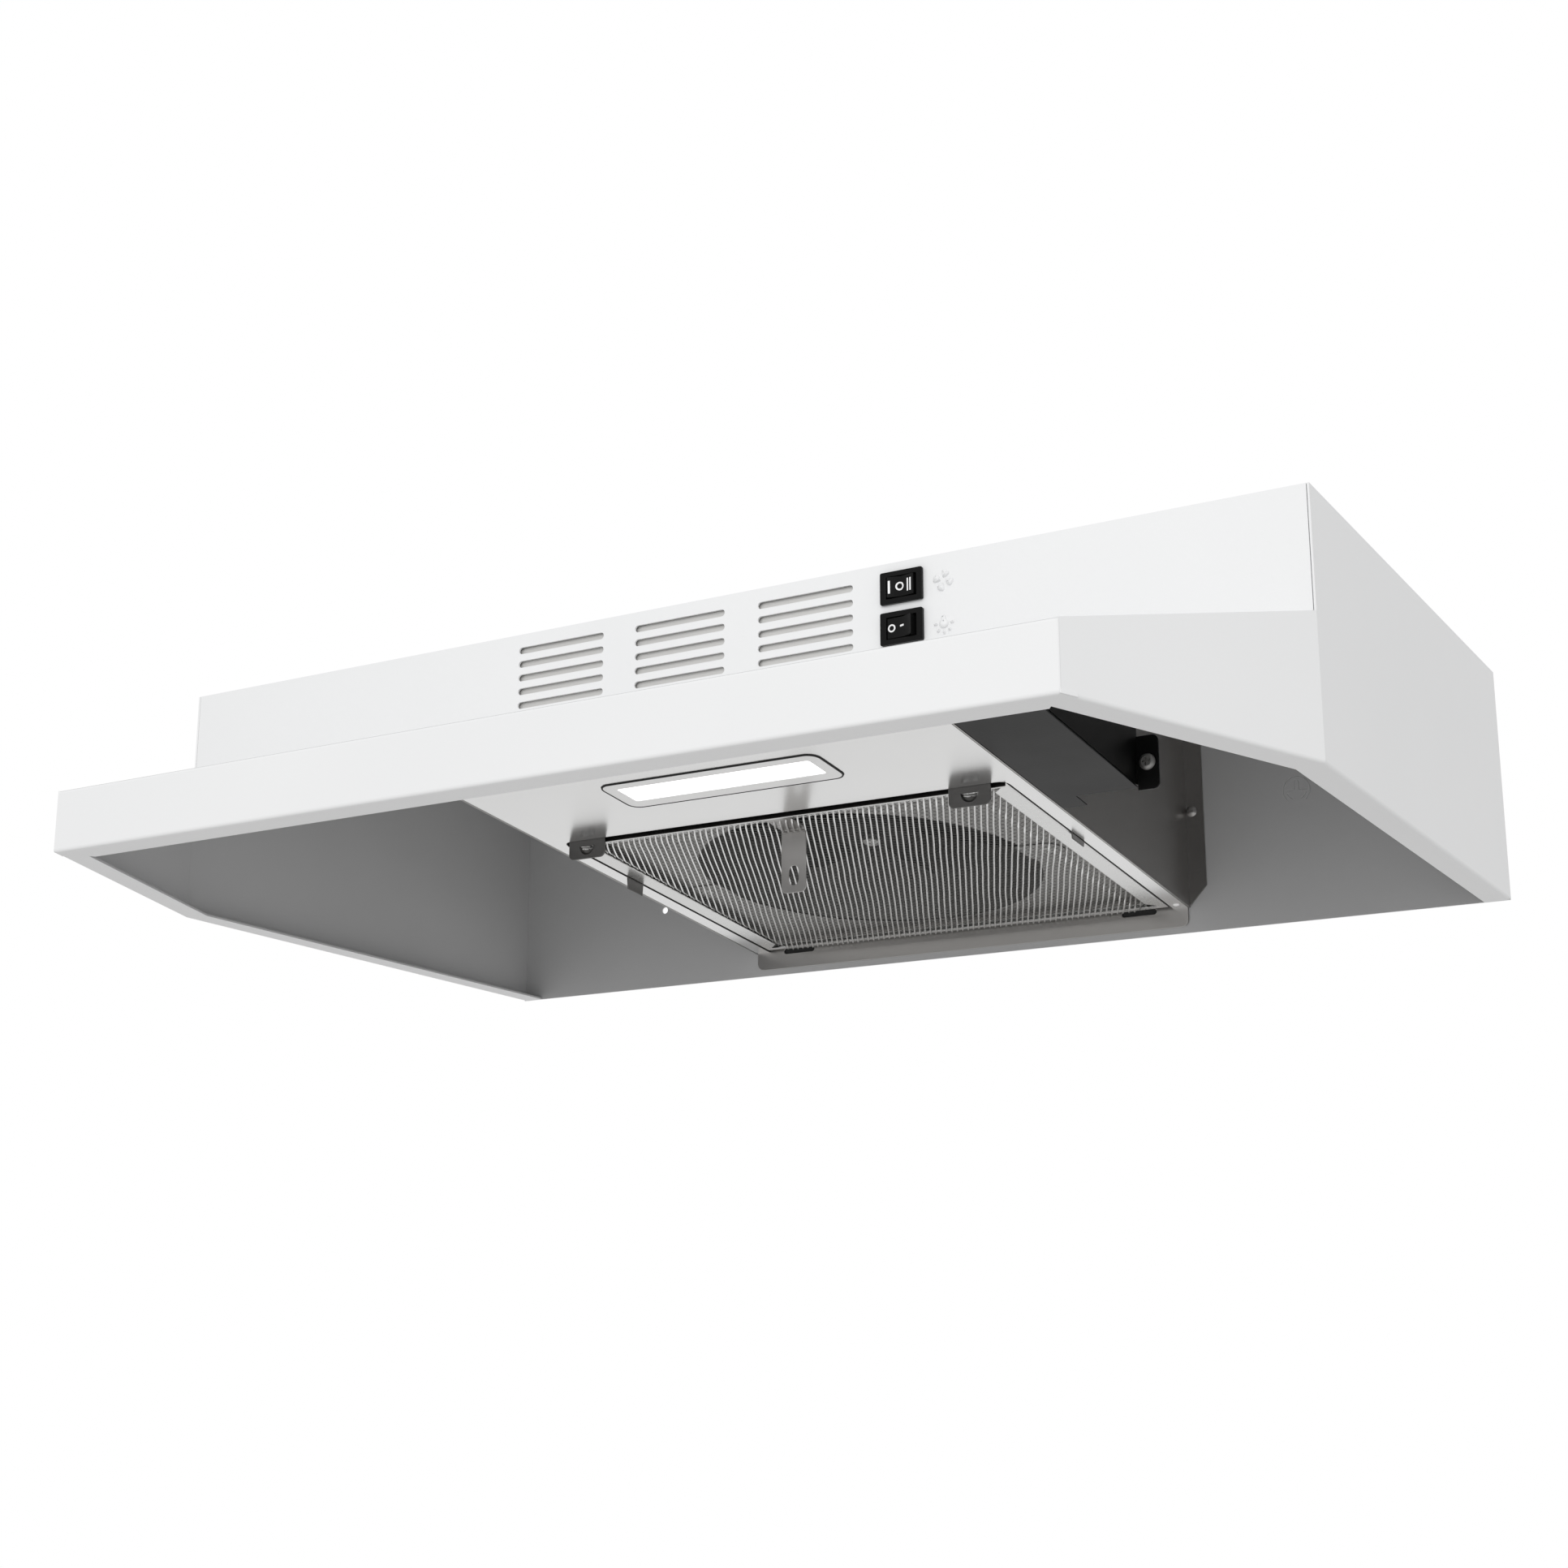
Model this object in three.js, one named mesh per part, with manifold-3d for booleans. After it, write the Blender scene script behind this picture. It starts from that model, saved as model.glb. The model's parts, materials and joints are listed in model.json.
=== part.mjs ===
// A 24 inch under-cabinet range hood: a folded sheet shell with a mitred visor, a filter
// plenum with a tilted underside, an axial fan, a lamp, a wiring box and two rocker switches.
// Millimetres. +X is right, +Y goes back to the wall, +Z is up.
// Every length is measured from the upper front panel's outer face (y = 0) and the top face
// (z = 0); the finished group is then moved so that the origin is the middle of the top face.

import * as THREE from 'three';
import { mergeVertices } from 'three/addons/utils/BufferGeometryUtils.js';
import Module from 'manifold-3d';

const wasm = await Module();
wasm.setup();

// ---- driving dimensions ----
const WIDTH = 606;
const HALF = WIDTH / 2;
const DEPTH = 299.3; // upper front panel to wall
const HEIGHT = 119.3;
const SHEET = 1; // shell sheet
const THIN = 0.8; // inner sheet
const GAP = 0.3; // between pieces that touch

const VISOR = 140.4; // how far the visor stands forward
const MITRE = 52.9; // how much narrower each end of the visor's front is
const VISOR_TOP_BACK = -55.2;
const VISOR_TOP_FRONT = -90.2;
const VISOR_SLOPE = (VISOR_TOP_BACK - VISOR_TOP_FRONT) / VISOR;
const RIM_FRONT = 15.5; // bottom flange widths
const RIM_SIDE = 13;

const PANEL_Z = -74.4; // plenum underside at y = 0
const PANEL_SLOPE = 0.1055; // it drops this much per mm towards the wall
const TILT = Math.atan(PANEL_SLOPE);
const PLENUM_HALF = 133.8;
const PLENUM_FRONT = -44;
const RECESS_HALF = 125.4;
const RECESS_FRONT = 85;
const RECESS_UP = 4.5;
const REAR_FLANGE_Y = DEPTH - SHEET - GAP - THIN;
const REAR_FLANGE_BOTTOM = -116;

const INLET = { x: -4, y: 194, r: 91 };
const EAR = 101; // motor bridge screws, from the fan's axis
const FAN_RISE = { shroud: 60, nut: 19, hub: 24, blade: 44, motor: 48, bridge: 76.5 };

const FILTER_HALF = 124;
const FILTER_FRONT = 88;
const FILTER_BACK = 293.4;
const FILTER_THICK = 3.2;
const BAND = { side: 10, front: 13, back: 3.7 };

const LAMP = { half: 59.7, front: 20, back: 52, r: 6 };
const LENS = { half: 52.6, front: 27, back: 44 };
const SLOT = { w: 49.7, h: 3, pitchX: 67.6, pitchZ: 6.95, x: 66.4, z: -8.4, rows: 6, columns: 3 };
const DEFLECTOR = { x0: -100, x1: 98, front: 2, flange: 9, bottom: -51 };
const SWITCH = { x: 116.4, w: 21, h: 15.1, fanZ: -12.35, lightZ: -31.35 };
const ROCKER = { half: 6.6, tall: 9.6, face: -3, pivot: 1, tilt: 12 };
const WIRING = { x0: 135.2, x1: 178.7, back: 116, tongueX: 147.4, tongueBack: 129.6 };
const EAR_SCREW = { x: 184.2, z: -75, edge: 189.6 };
const DUCT = { half: 127, front: 190, back: 273 };
const KEYHOLE = { x: 250, y: [55, 240], big: 5, small: 2.6, run: 12 };

const panelZ = (y) => PANEL_Z - PANEL_SLOPE * y;
const visorZ = (y) => VISOR_TOP_BACK + VISOR_SLOPE * y;
const mitreX = (y) => HALF + (MITRE / VISOR) * Math.min(y, 0);
const along = (y) => y / Math.cos(TILT); // distance down the slope, in the tilted frame

// ---- finishes ----
const finish = (color, roughness, metalness) =>
  new THREE.MeshStandardMaterial({ color, roughness, metalness });
const WHITE = () => finish(0xe9eaea, 0.45, 0);
const STEEL = () => finish(0xb9b8b5, 0.3, 0.9);
const DARK_STEEL = () => finish(0x55534f, 0.35, 0.9);
const ALUMINIUM = () => finish(0xc9c8c5, 0.3, 0.9);
const BLACK_PAINT = () => finish(0x202020, 0.4, 0);
const BLACK_PLASTIC = () => finish(0x141414, 0.25, 0);
const GREY_PLASTIC = () => finish(0x3c3d3e, 0.5, 0);
const LAMP_WHITE = () => finish(0xf4f4f2, 0.4, 0);
const BOARD = () => finish(0xe3e6e2, 0.5, 0);

// ---- shape helpers ----
function box(x0, x1, y0, y1, z0, z1) {
  const g = new THREE.BoxGeometry(x1 - x0, y1 - y0, z1 - z0);
  return g.translate((x0 + x1) / 2, (y0 + y1) / 2, (z0 + z1) / 2);
}

function outline(points) {
  return new THREE.Shape(points.map(([a, b]) => new THREE.Vector2(a, b)));
}

function extrude(shape, depth, segments = 6) {
  return new THREE.ExtrudeGeometry(shape, { depth, bevelEnabled: false, curveSegments: segments });
}

// shape in X and Y, raised from z0 to z1
function extrudeZ(shape, z0, z1, segments) {
  return extrude(shape, z1 - z0, segments).translate(0, 0, z0);
}

// shape in Y and Z, swept from x0 to x1
function extrudeX(shape, x0, x1, segments) {
  const turn = new THREE.Matrix4().makeBasis(
    new THREE.Vector3(0, 1, 0), new THREE.Vector3(0, 0, 1), new THREE.Vector3(1, 0, 0));
  return extrude(shape, x1 - x0, segments).applyMatrix4(turn).translate(x0, 0, 0);
}

// shape in X and Z, swept from y0 to y1
function extrudeY(shape, y0, y1, segments) {
  const turn = new THREE.Matrix4().makeBasis(
    new THREE.Vector3(1, 0, 0), new THREE.Vector3(0, 0, 1), new THREE.Vector3(0, -1, 0));
  return extrude(shape, y1 - y0, segments).applyMatrix4(turn).translate(0, y1, 0);
}

function roundedRect(x0, x1, y0, y1, r) {
  const s = new THREE.Shape();
  s.moveTo(x0 + r, y0);
  s.lineTo(x1 - r, y0);
  s.absarc(x1 - r, y0 + r, r, -Math.PI / 2, 0);
  s.lineTo(x1, y1 - r);
  s.absarc(x1 - r, y1 - r, r, 0, Math.PI / 2);
  s.lineTo(x0 + r, y1);
  s.absarc(x0 + r, y1 - r, r, Math.PI / 2, Math.PI);
  s.lineTo(x0, y0 + r);
  s.absarc(x0 + r, y0 + r, r, Math.PI, 1.5 * Math.PI);
  return s;
}

function disc(x, y, r) {
  const s = new THREE.Shape();
  s.absarc(x, y, r, 0, 2 * Math.PI);
  return s;
}

function lathe(profile, segments = 32) {
  const points = profile.map(([r, z]) => new THREE.Vector2(r, z));
  return new THREE.LatheGeometry(points, segments).rotateX(Math.PI / 2);
}

function cylinderZ(r, z0, z1, segments = 24) {
  return lathe([[0, z0], [r, z0], [r, z1], [0, z1]], segments);
}

function toSolid(geometry) {
  const g = geometry.clone();
  g.deleteAttribute('normal');
  g.deleteAttribute('uv');
  const m = mergeVertices(g, 1e-4);
  return new wasm.Manifold(new wasm.Mesh({
    numProp: 3,
    vertProperties: new Float32Array(m.attributes.position.array),
    triVerts: new Uint32Array(m.index.array),
  }));
}

function toGeometry(solid) {
  const m = solid.getMesh();
  const g = new THREE.BufferGeometry();
  g.setAttribute('position', new THREE.BufferAttribute(new Float32Array(m.vertProperties), 3));
  g.setIndex(new THREE.BufferAttribute(new Uint32Array(m.triVerts), 1));
  return g;
}

function join(first, ...rest) {
  return toGeometry(rest.reduce((sum, g) => sum.add(toSolid(g)), toSolid(first)));
}

function cut(first, ...tools) {
  return toGeometry(tools.reduce((sum, g) => sum.subtract(toSolid(g)), toSolid(first)));
}

const hood = new THREE.Group();

function piece(parent, name, geometry, material) {
  const mesh = new THREE.Mesh(geometry, material);
  mesh.name = name;
  parent.add(mesh);
  return mesh;
}

// A group whose own Z is square to the plenum's tilted underside.
function tiltedFrame(x, y) {
  const g = new THREE.Group();
  g.position.set(x, y, panelZ(y));
  g.rotation.x = -TILT;
  hood.add(g);
  return g;
}

// Moves a shape made in the tilted frame at (x, y) into the hood's own frame.
function tilt(geometry, x = 0, y = 0) {
  return geometry.rotateX(-TILT).translate(x, y, panelZ(y));
}

// ---- shell ----
function keyhole(x, y) {
  const { big, small, run } = KEYHOLE;
  const s = new THREE.Path();
  const start = Math.asin(small / big);
  s.absarc(x, y, big, Math.PI / 2 + start, Math.PI / 2 - start + 2 * Math.PI);
  s.lineTo(x + small, y + run);
  s.absarc(x, y + run, small, 0, Math.PI);
  return s;
}

function topPanel() {
  const inX = HALF - SHEET - GAP;
  const s = outline([[-inX, SHEET + GAP], [inX, SHEET + GAP],
    [inX, DEPTH - SHEET - GAP], [-inX, DEPTH - SHEET - GAP]]);
  s.holes.push(roundedRect(-DUCT.half, DUCT.half, DUCT.front, DUCT.back, 4));
  for (const x of [-KEYHOLE.x, KEYHOLE.x]) {
    for (const y of KEYHOLE.y) s.holes.push(keyhole(x, y));
  }
  piece(hood, 'top_panel', extrudeZ(s, -SHEET, 0), WHITE());
  const slit = 0.4;
  const plate = roundedRect(slit - DUCT.half, DUCT.half - slit, DUCT.front + slit,
    DUCT.back - slit, 4 - slit);
  piece(hood, 'duct_knockout_plate', extrudeZ(plate, -SHEET, 0), WHITE());
}

function slotHole(x, z) {
  return roundedRect(x - SLOT.w / 2, x + SLOT.w / 2, z - SLOT.h / 2, z + SLOT.h / 2,
    SLOT.h / 2 - 0.01);
}

function frontPanel() {
  const inX = HALF - SHEET - GAP;
  const s = outline([[-inX, VISOR_TOP_BACK + GAP], [inX, VISOR_TOP_BACK + GAP],
    [inX, 0], [-inX, 0]]);
  for (let column = 0; column < SLOT.columns; column++) {
    for (let row = 0; row < SLOT.rows; row++) {
      s.holes.push(slotHole(SLOT.x - column * SLOT.pitchX, SLOT.z - row * SLOT.pitchZ));
    }
  }
  const border = 0.9;
  for (const z of [SWITCH.fanZ, SWITCH.lightZ]) {
    s.holes.push(roundedRect(SWITCH.x - SWITCH.w / 2 + border, SWITCH.x + SWITCH.w / 2 - border,
      z - SWITCH.h / 2 + border, z + SWITCH.h / 2 - border, 0.8));
  }
  piece(hood, 'upper_front_panel', extrudeY(s, 0, SHEET, 3), WHITE());
}

// A folded plate close behind the slots. It stops air blowing out of them when the hood is ducted.
function airDeflector() {
  const { x0, x1, front, flange, bottom } = DEFLECTOR;
  const top = -SHEET - GAP;
  const section = outline([[front, bottom], [front + flange, bottom],
    [front + flange, bottom + THIN], [front + THIN, bottom + THIN], [front + THIN, top - THIN],
    [front + flange, top - THIN], [front + flange, top], [front, top]]);
  piece(hood, 'air_deflector', extrudeX(section, x0, x1), STEEL());
}

function visor() {
  const behind = -VISOR + SHEET + GAP;
  const inner = (y) => mitreX(y) - SHEET * 1.07 - GAP;
  const top = extrudeZ(outline([[-inner(behind), behind], [inner(behind), behind],
    [inner(-GAP), -GAP], [-inner(-GAP), -GAP]]), VISOR_TOP_BACK - SHEET, VISOR_TOP_BACK);
  const shear = new THREE.Matrix4().set(1, 0, 0, 0, 0, 1, 0, 0, 0, VISOR_SLOPE, 1, 0, 0, 0, 0, 1);
  piece(hood, 'visor_top_panel', top.applyMatrix4(shear), WHITE());

  const front = HALF - MITRE;
  const rimBack = -VISOR + RIM_FRONT;
  const face = box(-front, front, -VISOR, -VISOR + SHEET, -HEIGHT, VISOR_TOP_FRONT);
  const rim = extrudeZ(outline([[-inner(behind), -VISOR + SHEET / 2],
    [inner(behind), -VISOR + SHEET / 2], [inner(behind), behind], [inner(rimBack), rimBack],
    [-inner(rimBack), rimBack], [-inner(behind), behind]]), -HEIGHT, -HEIGHT + SHEET);
  piece(hood, 'visor_front_panel', join(face, rim), WHITE());
}

function mitredEnd(name, side) {
  const behind = -VISOR + SHEET + GAP;
  const thick = SHEET * 1.07;
  const plan = outline([[HALF, SHEET], [HALF, 0], [mitreX(behind), behind],
    [mitreX(behind) - thick, behind], [HALF - thick, 0], [HALF - thick, SHEET]]);
  const wall = extrudeZ(plan, -HEIGHT, VISOR_TOP_BACK);
  const rimFront = -VISOR + RIM_FRONT + GAP;
  const rimWide = RIM_SIDE * 1.07;
  const rim = extrudeZ(outline([[HALF, SHEET], [HALF, 0], [mitreX(rimFront), rimFront],
    [mitreX(rimFront) - rimWide, rimFront], [HALF - rimWide, 0], [HALF - rimWide, SHEET]]),
  -HEIGHT, -HEIGHT + SHEET);
  const above = extrudeX(outline([[0, visorZ(0)], [-VISOR, visorZ(-VISOR)],
    [-VISOR, 0], [0, 0]]), HALF - MITRE - 20, HALF + 20);
  let g = cut(join(wall, rim), above);
  if (side < 0) g = mirrorX(g);
  piece(hood, name, g, WHITE());
}

function mirrorX(geometry) {
  const g = geometry.clone().scale(-1, 1, 1);
  const index = g.index.array;
  for (let i = 0; i < index.length; i += 3) [index[i], index[i + 1]] = [index[i + 1], index[i]];
  return g;
}

// The side panel's front edge shows beside the front panel, above the visor.
function sidePanel(name, side) {
  const [y0, y1, step] = [SHEET + GAP, DEPTH - SHEET - GAP, VISOR_TOP_BACK + GAP];
  const wall = extrudeX(outline([[y0, -HEIGHT], [y1, -HEIGHT], [y1, 0], [0, 0], [0, step],
    [y0, step]]), HALF - SHEET, HALF);
  const rim = box(HALF - RIM_SIDE, HALF, y0, y1, -HEIGHT, -HEIGHT + SHEET);
  let g = join(wall, rim);
  if (side < 0) g = mirrorX(g);
  piece(hood, name, g, WHITE());
}

function backPanel() {
  const s = outline([[-HALF, -HEIGHT], [HALF, -HEIGHT], [HALF, 0], [-HALF, 0]]);
  s.holes.push(disc(-200, -72.5, 2));
  piece(hood, 'back_panel', extrudeY(s, DEPTH - SHEET, DEPTH, 4), WHITE());
}

// ---- plenum ----
function plenumPanel() {
  const end = REAR_FLANGE_Y + THIN;
  const line = (y, up) => [y, panelZ(y) + up];
  const sheet = extrudeX(outline([line(PLENUM_FRONT, 0), line(REAR_FLANGE_Y, 0),
    [REAR_FLANGE_Y, REAR_FLANGE_BOTTOM], [end, REAR_FLANGE_BOTTOM],
    line(end, RECESS_UP + THIN), line(REAR_FLANGE_Y, RECESS_UP + THIN),
    line(REAR_FLANGE_Y, THIN), line(PLENUM_FRONT, THIN)]), -PLENUM_HALF, PLENUM_HALF);
  const recess = (grow, up) => extrudeX(outline([line(RECESS_FRONT - grow, -1),
    line(REAR_FLANGE_Y + grow / 2, -1), line(REAR_FLANGE_Y + grow / 2, up),
    line(RECESS_FRONT - grow, up)]), -RECESS_HALF - grow, RECESS_HALF + grow);
  const trayTop = RECESS_UP + THIN;
  const below = extrudeX(outline([line(RECESS_FRONT - 20, -9), line(DEPTH, -9),
    line(DEPTH, 0), line(RECESS_FRONT - 20, 0)]), -HALF, HALF);
  const tray = cut(recess(THIN, trayTop), below);
  const lampHole = tilt(extrudeZ(roundedRect(-LAMP.half - 0.5, LAMP.half + 0.5,
    along(LAMP.front) - 0.5, along(LAMP.back) + 0.5, LAMP.r), -3, 3));
  const inlet = tilt(cylinderZ(INLET.r, 1, 9, 64), INLET.x, INLET.y);
  const screws = [-1, 1].map((side) =>
    tilt(cylinderZ(2.1, 1, 9, 12), INLET.x + side * EAR, INLET.y));
  const hooks = [-1, 1].map((side) => extrudeY(roundedRect(side * 105.8 - 10, side * 105.8 + 10,
    -107.4, -104.4, 1.4), REAR_FLANGE_Y - 1, REAR_FLANGE_Y + 2));
  const solid = cut(join(sheet, tray), recess(0, RECESS_UP), lampHole, inlet, ...screws, ...hooks);
  piece(hood, 'plenum_panel', solid, STEEL());
}

const LEAD_HOLES = { motor: [60, -35], lamp: [34, -52], switch: [34, -16] };

function plenumSide(name, side) {
  const x0 = PLENUM_HALF + GAP;
  const [front, back] = [SHEET + 0.4, DEPTH - SHEET - GAP];
  const top = -SHEET - GAP;
  const plate = extrudeX(outline([[front, top], [back, top], [back, panelZ(back)],
    [PLENUM_FRONT, panelZ(PLENUM_FRONT)], [PLENUM_FRONT, visorZ(PLENUM_FRONT) - 1.4],
    [-0.6, visorZ(-0.6) - 1.4], [front, visorZ(0) - 1.2]]), x0, x0 + THIN);
  const flange = extrudeY(outline([[x0, top], [x0 + 10.6, top], [x0 + 10.6, -94.6],
    [x0, panelZ(back)]]), REAR_FLANGE_Y, back);
  let g = join(plate, flange);
  const rivetHole = extrudeY(disc(x0 + 4, -53.3, 1.9), REAR_FLANGE_Y - 1, back + 1, 3);
  g = cut(g, rivetHole);
  if (side > 0) {
    const holes = Object.values(LEAD_HOLES).map(([y, z]) =>
      extrudeX(disc(y, z, 5.2), x0 - 1, x0 + 2, 8));
    g = cut(g, ...holes);
  } else {
    g = mirrorX(g);
  }
  piece(hood, name, g, DARK_STEEL());
  const rivet = lathe([[0, 0], [1.5, 0], [1.5, 1.3], [3.1, 1.3], [2.4, 2.3], [0, 2.6]], 12);
  rivet.rotateX(Math.PI / 2).translate(side * (x0 + 4), REAR_FLANGE_Y + 1, -53.3);
  piece(hood, name.replace('side', 'rivet'), rivet, DARK_STEEL());
}

// ---- filter and what holds it ----
function filter() {
  const f = tiltedFrame(0, 0);
  const [v0, v1] = [along(FILTER_FRONT), along(FILTER_BACK)];
  const s = outline([[-FILTER_HALF, v0], [FILTER_HALF, v0], [FILTER_HALF, v1], [-FILTER_HALF, v1]]);
  const inX = FILTER_HALF - BAND.side;
  const [in0, in1] = [v0 + BAND.front, v1 - BAND.back];
  s.holes.push(outline([[-inX, in0], [inX, in0], [inX, in1], [-inX, in1]]));
  piece(f, 'filter_frame', extrudeZ(s, 0, FILTER_THICK), ALUMINIUM());

  const clear = 0.4;
  const [low, high, shoulder] = [-2.8, 2.6, 7];
  const profile = outline([[in0 + clear, 0.2], [in0 + shoulder, low], [in1 - shoulder / 2, low],
    [in1 - clear, 0.2], [in1 - clear, high], [in0 + clear, high]]);
  const pad = extrudeX(profile, -inX + clear, inX - clear);
  const sides = [-1, 1].map((side) => extrudeY(outline([[side * (inX + 1), -5],
    [side * (inX + 1), 0.2], [side * (inX - clear), 0.2], [side * (inX - shoulder), low],
    [side * (inX - shoulder), -5]]), in0 - 5, in1 + 5));
  const tabRoom = box(-7.5, 7.5, in0 - 2, along(106.9), -5, 0.25);
  piece(f, 'filter_mesh', cut(pad, ...sides, tabRoom), ALUMINIUM());
  pullTab();
}

function pullTab() {
  const half = 7;
  const [y0, y1, z0] = [89.5, 106.3, -119];
  const under = (y, down) => [y, panelZ(y) - down];
  const strip = extrudeX(outline([under(y0, GAP + THIN), under(y1 - THIN, GAP + THIN),
    [y1 - THIN, z0 - 1], [y1, z0 - 1], under(y1, GAP), under(y0, GAP)]), -half, half);
  const lowEdge = roundedRect(-half, half, z0, z0 + 40, 3);
  const outside = extrudeY(outline([[-half - 2, z0 - 5], [half + 2, z0 - 5], [half + 2, z0 + 4],
    [-half - 2, z0 + 4]]), y0, y1 + 1);
  const corners = cut(outside, extrudeY(lowEdge, y0 - 1, y1 + 2));
  const finger = extrudeY(roundedRect(-2.8, 2.8, -115.2, -105.2, 2.7), y1 - 3, y1 + 1, 4);
  piece(hood, 'filter_pull_tab', cut(strip, corners, finger), DARK_STEEL());
}

function frontCatch(name, x) {
  const [half, y, bottom] = [11, RECESS_FRONT + GAP, -93];
  const top = panelZ(y) + 3.9;
  const s = new THREE.Shape();
  const r = 3;
  s.moveTo(x - half, top);
  s.lineTo(x - half, bottom + r);
  s.absarc(x - half + r, bottom + r, r, Math.PI, 1.5 * Math.PI);
  s.lineTo(x + half - r, bottom);
  s.absarc(x + half - r, bottom + r, r, -Math.PI / 2, 0);
  s.lineTo(x + half, top);
  const lance = new THREE.Path();
  lance.absarc(x, -86.4, 4.6, Math.PI, 2 * Math.PI);
  s.holes.push(lance);
  piece(hood, name, extrudeY(s, y, y + SHEET), DARK_STEEL());
}

function sideGuide(name, side, y0, hang) {
  const y1 = y0 + 16;
  const low = (y) => [y, panelZ(y) - hang];
  const x = side * (FILTER_HALF + 0.35);
  const s = outline([[y0, panelZ(y0) + 3.6], low(y0 + 1), low(y1 - 1), [y1, panelZ(y1) + 3.6]]);
  const [x0, x1] = side > 0 ? [x, x + 0.75] : [x - 0.75, x];
  piece(hood, name, extrudeX(s, x0, x1), DARK_STEEL());
}

// ---- lamp ----
function lamp() {
  const f = tiltedFrame(0, 0);
  const v = [LAMP.front, LAMP.back].map(along);
  const lensV = [LENS.front, LENS.back].map(along);
  const rim = roundedRect(-LAMP.half, LAMP.half, v[0], v[1], LAMP.r);
  rim.holes.push(roundedRect(-LENS.half - GAP, LENS.half + GAP, lensV[0] - GAP, lensV[1] + GAP, 1));
  piece(f, 'lamp_bezel', extrudeZ(rim, -0.4, 1.4), LAMP_WHITE());
  piece(f, 'lamp_lens', extrudeZ(roundedRect(-LENS.half, LENS.half, lensV[0], lensV[1], 1),
    -0.3, 1.2), LAMP_WHITE());
  const top = 15;
  const outer = box(-LAMP.half + 2, LAMP.half - 2, v[0] + 2, v[1] - 2, 1.7, top);
  const inner = box(-LAMP.half + 3, LAMP.half - 3, v[0] + 3, v[1] - 3, 0, top - 1);
  piece(f, 'lamp_housing', cut(outer, inner), LAMP_WHITE());
  piece(f, 'led_board', box(-50, 50, lensV[0] + 2, lensV[1] - 2, top - 2.9, top - 1.3), BOARD());
}

// ---- fan ----
function impellerBlade(angle) {
  // A flat blade pitched about its own radius, then swung round to its place.
  const [inner, outer, pitch] = [20, 85, 32];
  const s = new THREE.Shape();
  s.moveTo(inner, -11);
  s.quadraticCurveTo((inner + outer) / 2, -24, outer - 6, -21);
  s.quadraticCurveTo(outer + 0.5, -6, outer - 4, 12);
  s.quadraticCurveTo((inner + outer) / 2, 17, inner, 11);
  const g = extrudeZ(s, -0.9, 0.9, 5);
  g.rotateX(THREE.MathUtils.degToRad(pitch));
  return g.rotateZ(angle).translate(0, 0, (FAN_RISE.hub + FAN_RISE.blade) / 2);
}

function fan() {
  const f = tiltedFrame(INLET.x, INLET.y);
  const [ri, ro, lip] = [INLET.r + 0.5, INLET.r + 1.5, INLET.r + 3];
  const base = RECESS_UP + THIN + GAP;
  piece(f, 'fan_shroud', lathe([[ri, base], [lip, base], [lip, base + THIN], [ro, base + THIN],
    [ro, FAN_RISE.shroud], [ri, FAN_RISE.shroud], [ri, base]], 48), STEEL());

  const [foot, legIn, legOut, top] = [EAR + 7, EAR - 7.5, EAR - 6, FAN_RISE.bridge];
  const low = base + THIN + GAP;
  const hat = extrudeY(outline([[-foot, low], [-legIn, low], [-legIn, top], [legIn, top],
    [legIn, low], [foot, low], [foot, low + 1.5], [legOut, low + 1.5], [legOut, top + 1.5],
    [-legOut, top + 1.5], [-legOut, low + 1.5], [-foot, low + 1.5]]), -14, 14);
  const holes = [-1, 1].map((side) => cylinderZ(2.1, 0, 12, 12).translate(side * EAR, 0, 0));
  piece(f, 'motor_bridge', cut(hat, ...holes), STEEL());

  piece(f, 'fan_motor', lathe([[0, FAN_RISE.motor], [14, FAN_RISE.motor],
    [16, FAN_RISE.motor + 4], [36, FAN_RISE.motor + 6], [40, FAN_RISE.motor + 10],
    [40, top - 6], [34, top - GAP], [0, top - GAP]], 32), GREY_PLASTIC());

  piece(f, 'motor_shaft', cylinderZ(3, FAN_RISE.hub - GAP, FAN_RISE.motor - GAP, 16), STEEL());
  const hub = lathe([[3.3, FAN_RISE.hub], [20, FAN_RISE.hub], [25, FAN_RISE.hub + 4],
    [25, FAN_RISE.blade], [3.3, FAN_RISE.blade], [3.3, FAN_RISE.hub]], 28);
  const count = 7;
  const blades = [];
  for (let i = 0; i < count; i++) blades.push(impellerBlade((i * 2 * Math.PI) / count));
  const bore = cylinderZ(3.3, FAN_RISE.hub - 5, FAN_RISE.blade + 5, 28);
  piece(f, 'impeller', cut(join(hub, ...blades), bore), BLACK_PLASTIC());
  piece(f, 'impeller_nut', lathe([[0, FAN_RISE.nut], [3.4, FAN_RISE.nut + 0.6],
    [5.5, FAN_RISE.nut + 3], [5.5, FAN_RISE.hub - 2 * GAP], [0, FAN_RISE.hub - 2 * GAP]], 16),
  STEEL());
}

function panHead(r, up, shank) {
  // The head hangs below zero and the shank goes up.
  return lathe([[0, -up], [r * 0.7, -up * 0.85], [r, 0], [1.6, 0], [1.6, shank], [0, shank]], 14);
}

function fanScrews() {
  const f = tiltedFrame(INLET.x, INLET.y);
  for (const [name, side] of [['fan_screw_left', -1], ['fan_screw_right', 1]]) {
    const screw = panHead(3.8, 1.2, 7).translate(side * EAR, 0, RECESS_UP - GAP);
    piece(f, name, screw, STEEL());
  }
}

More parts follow.
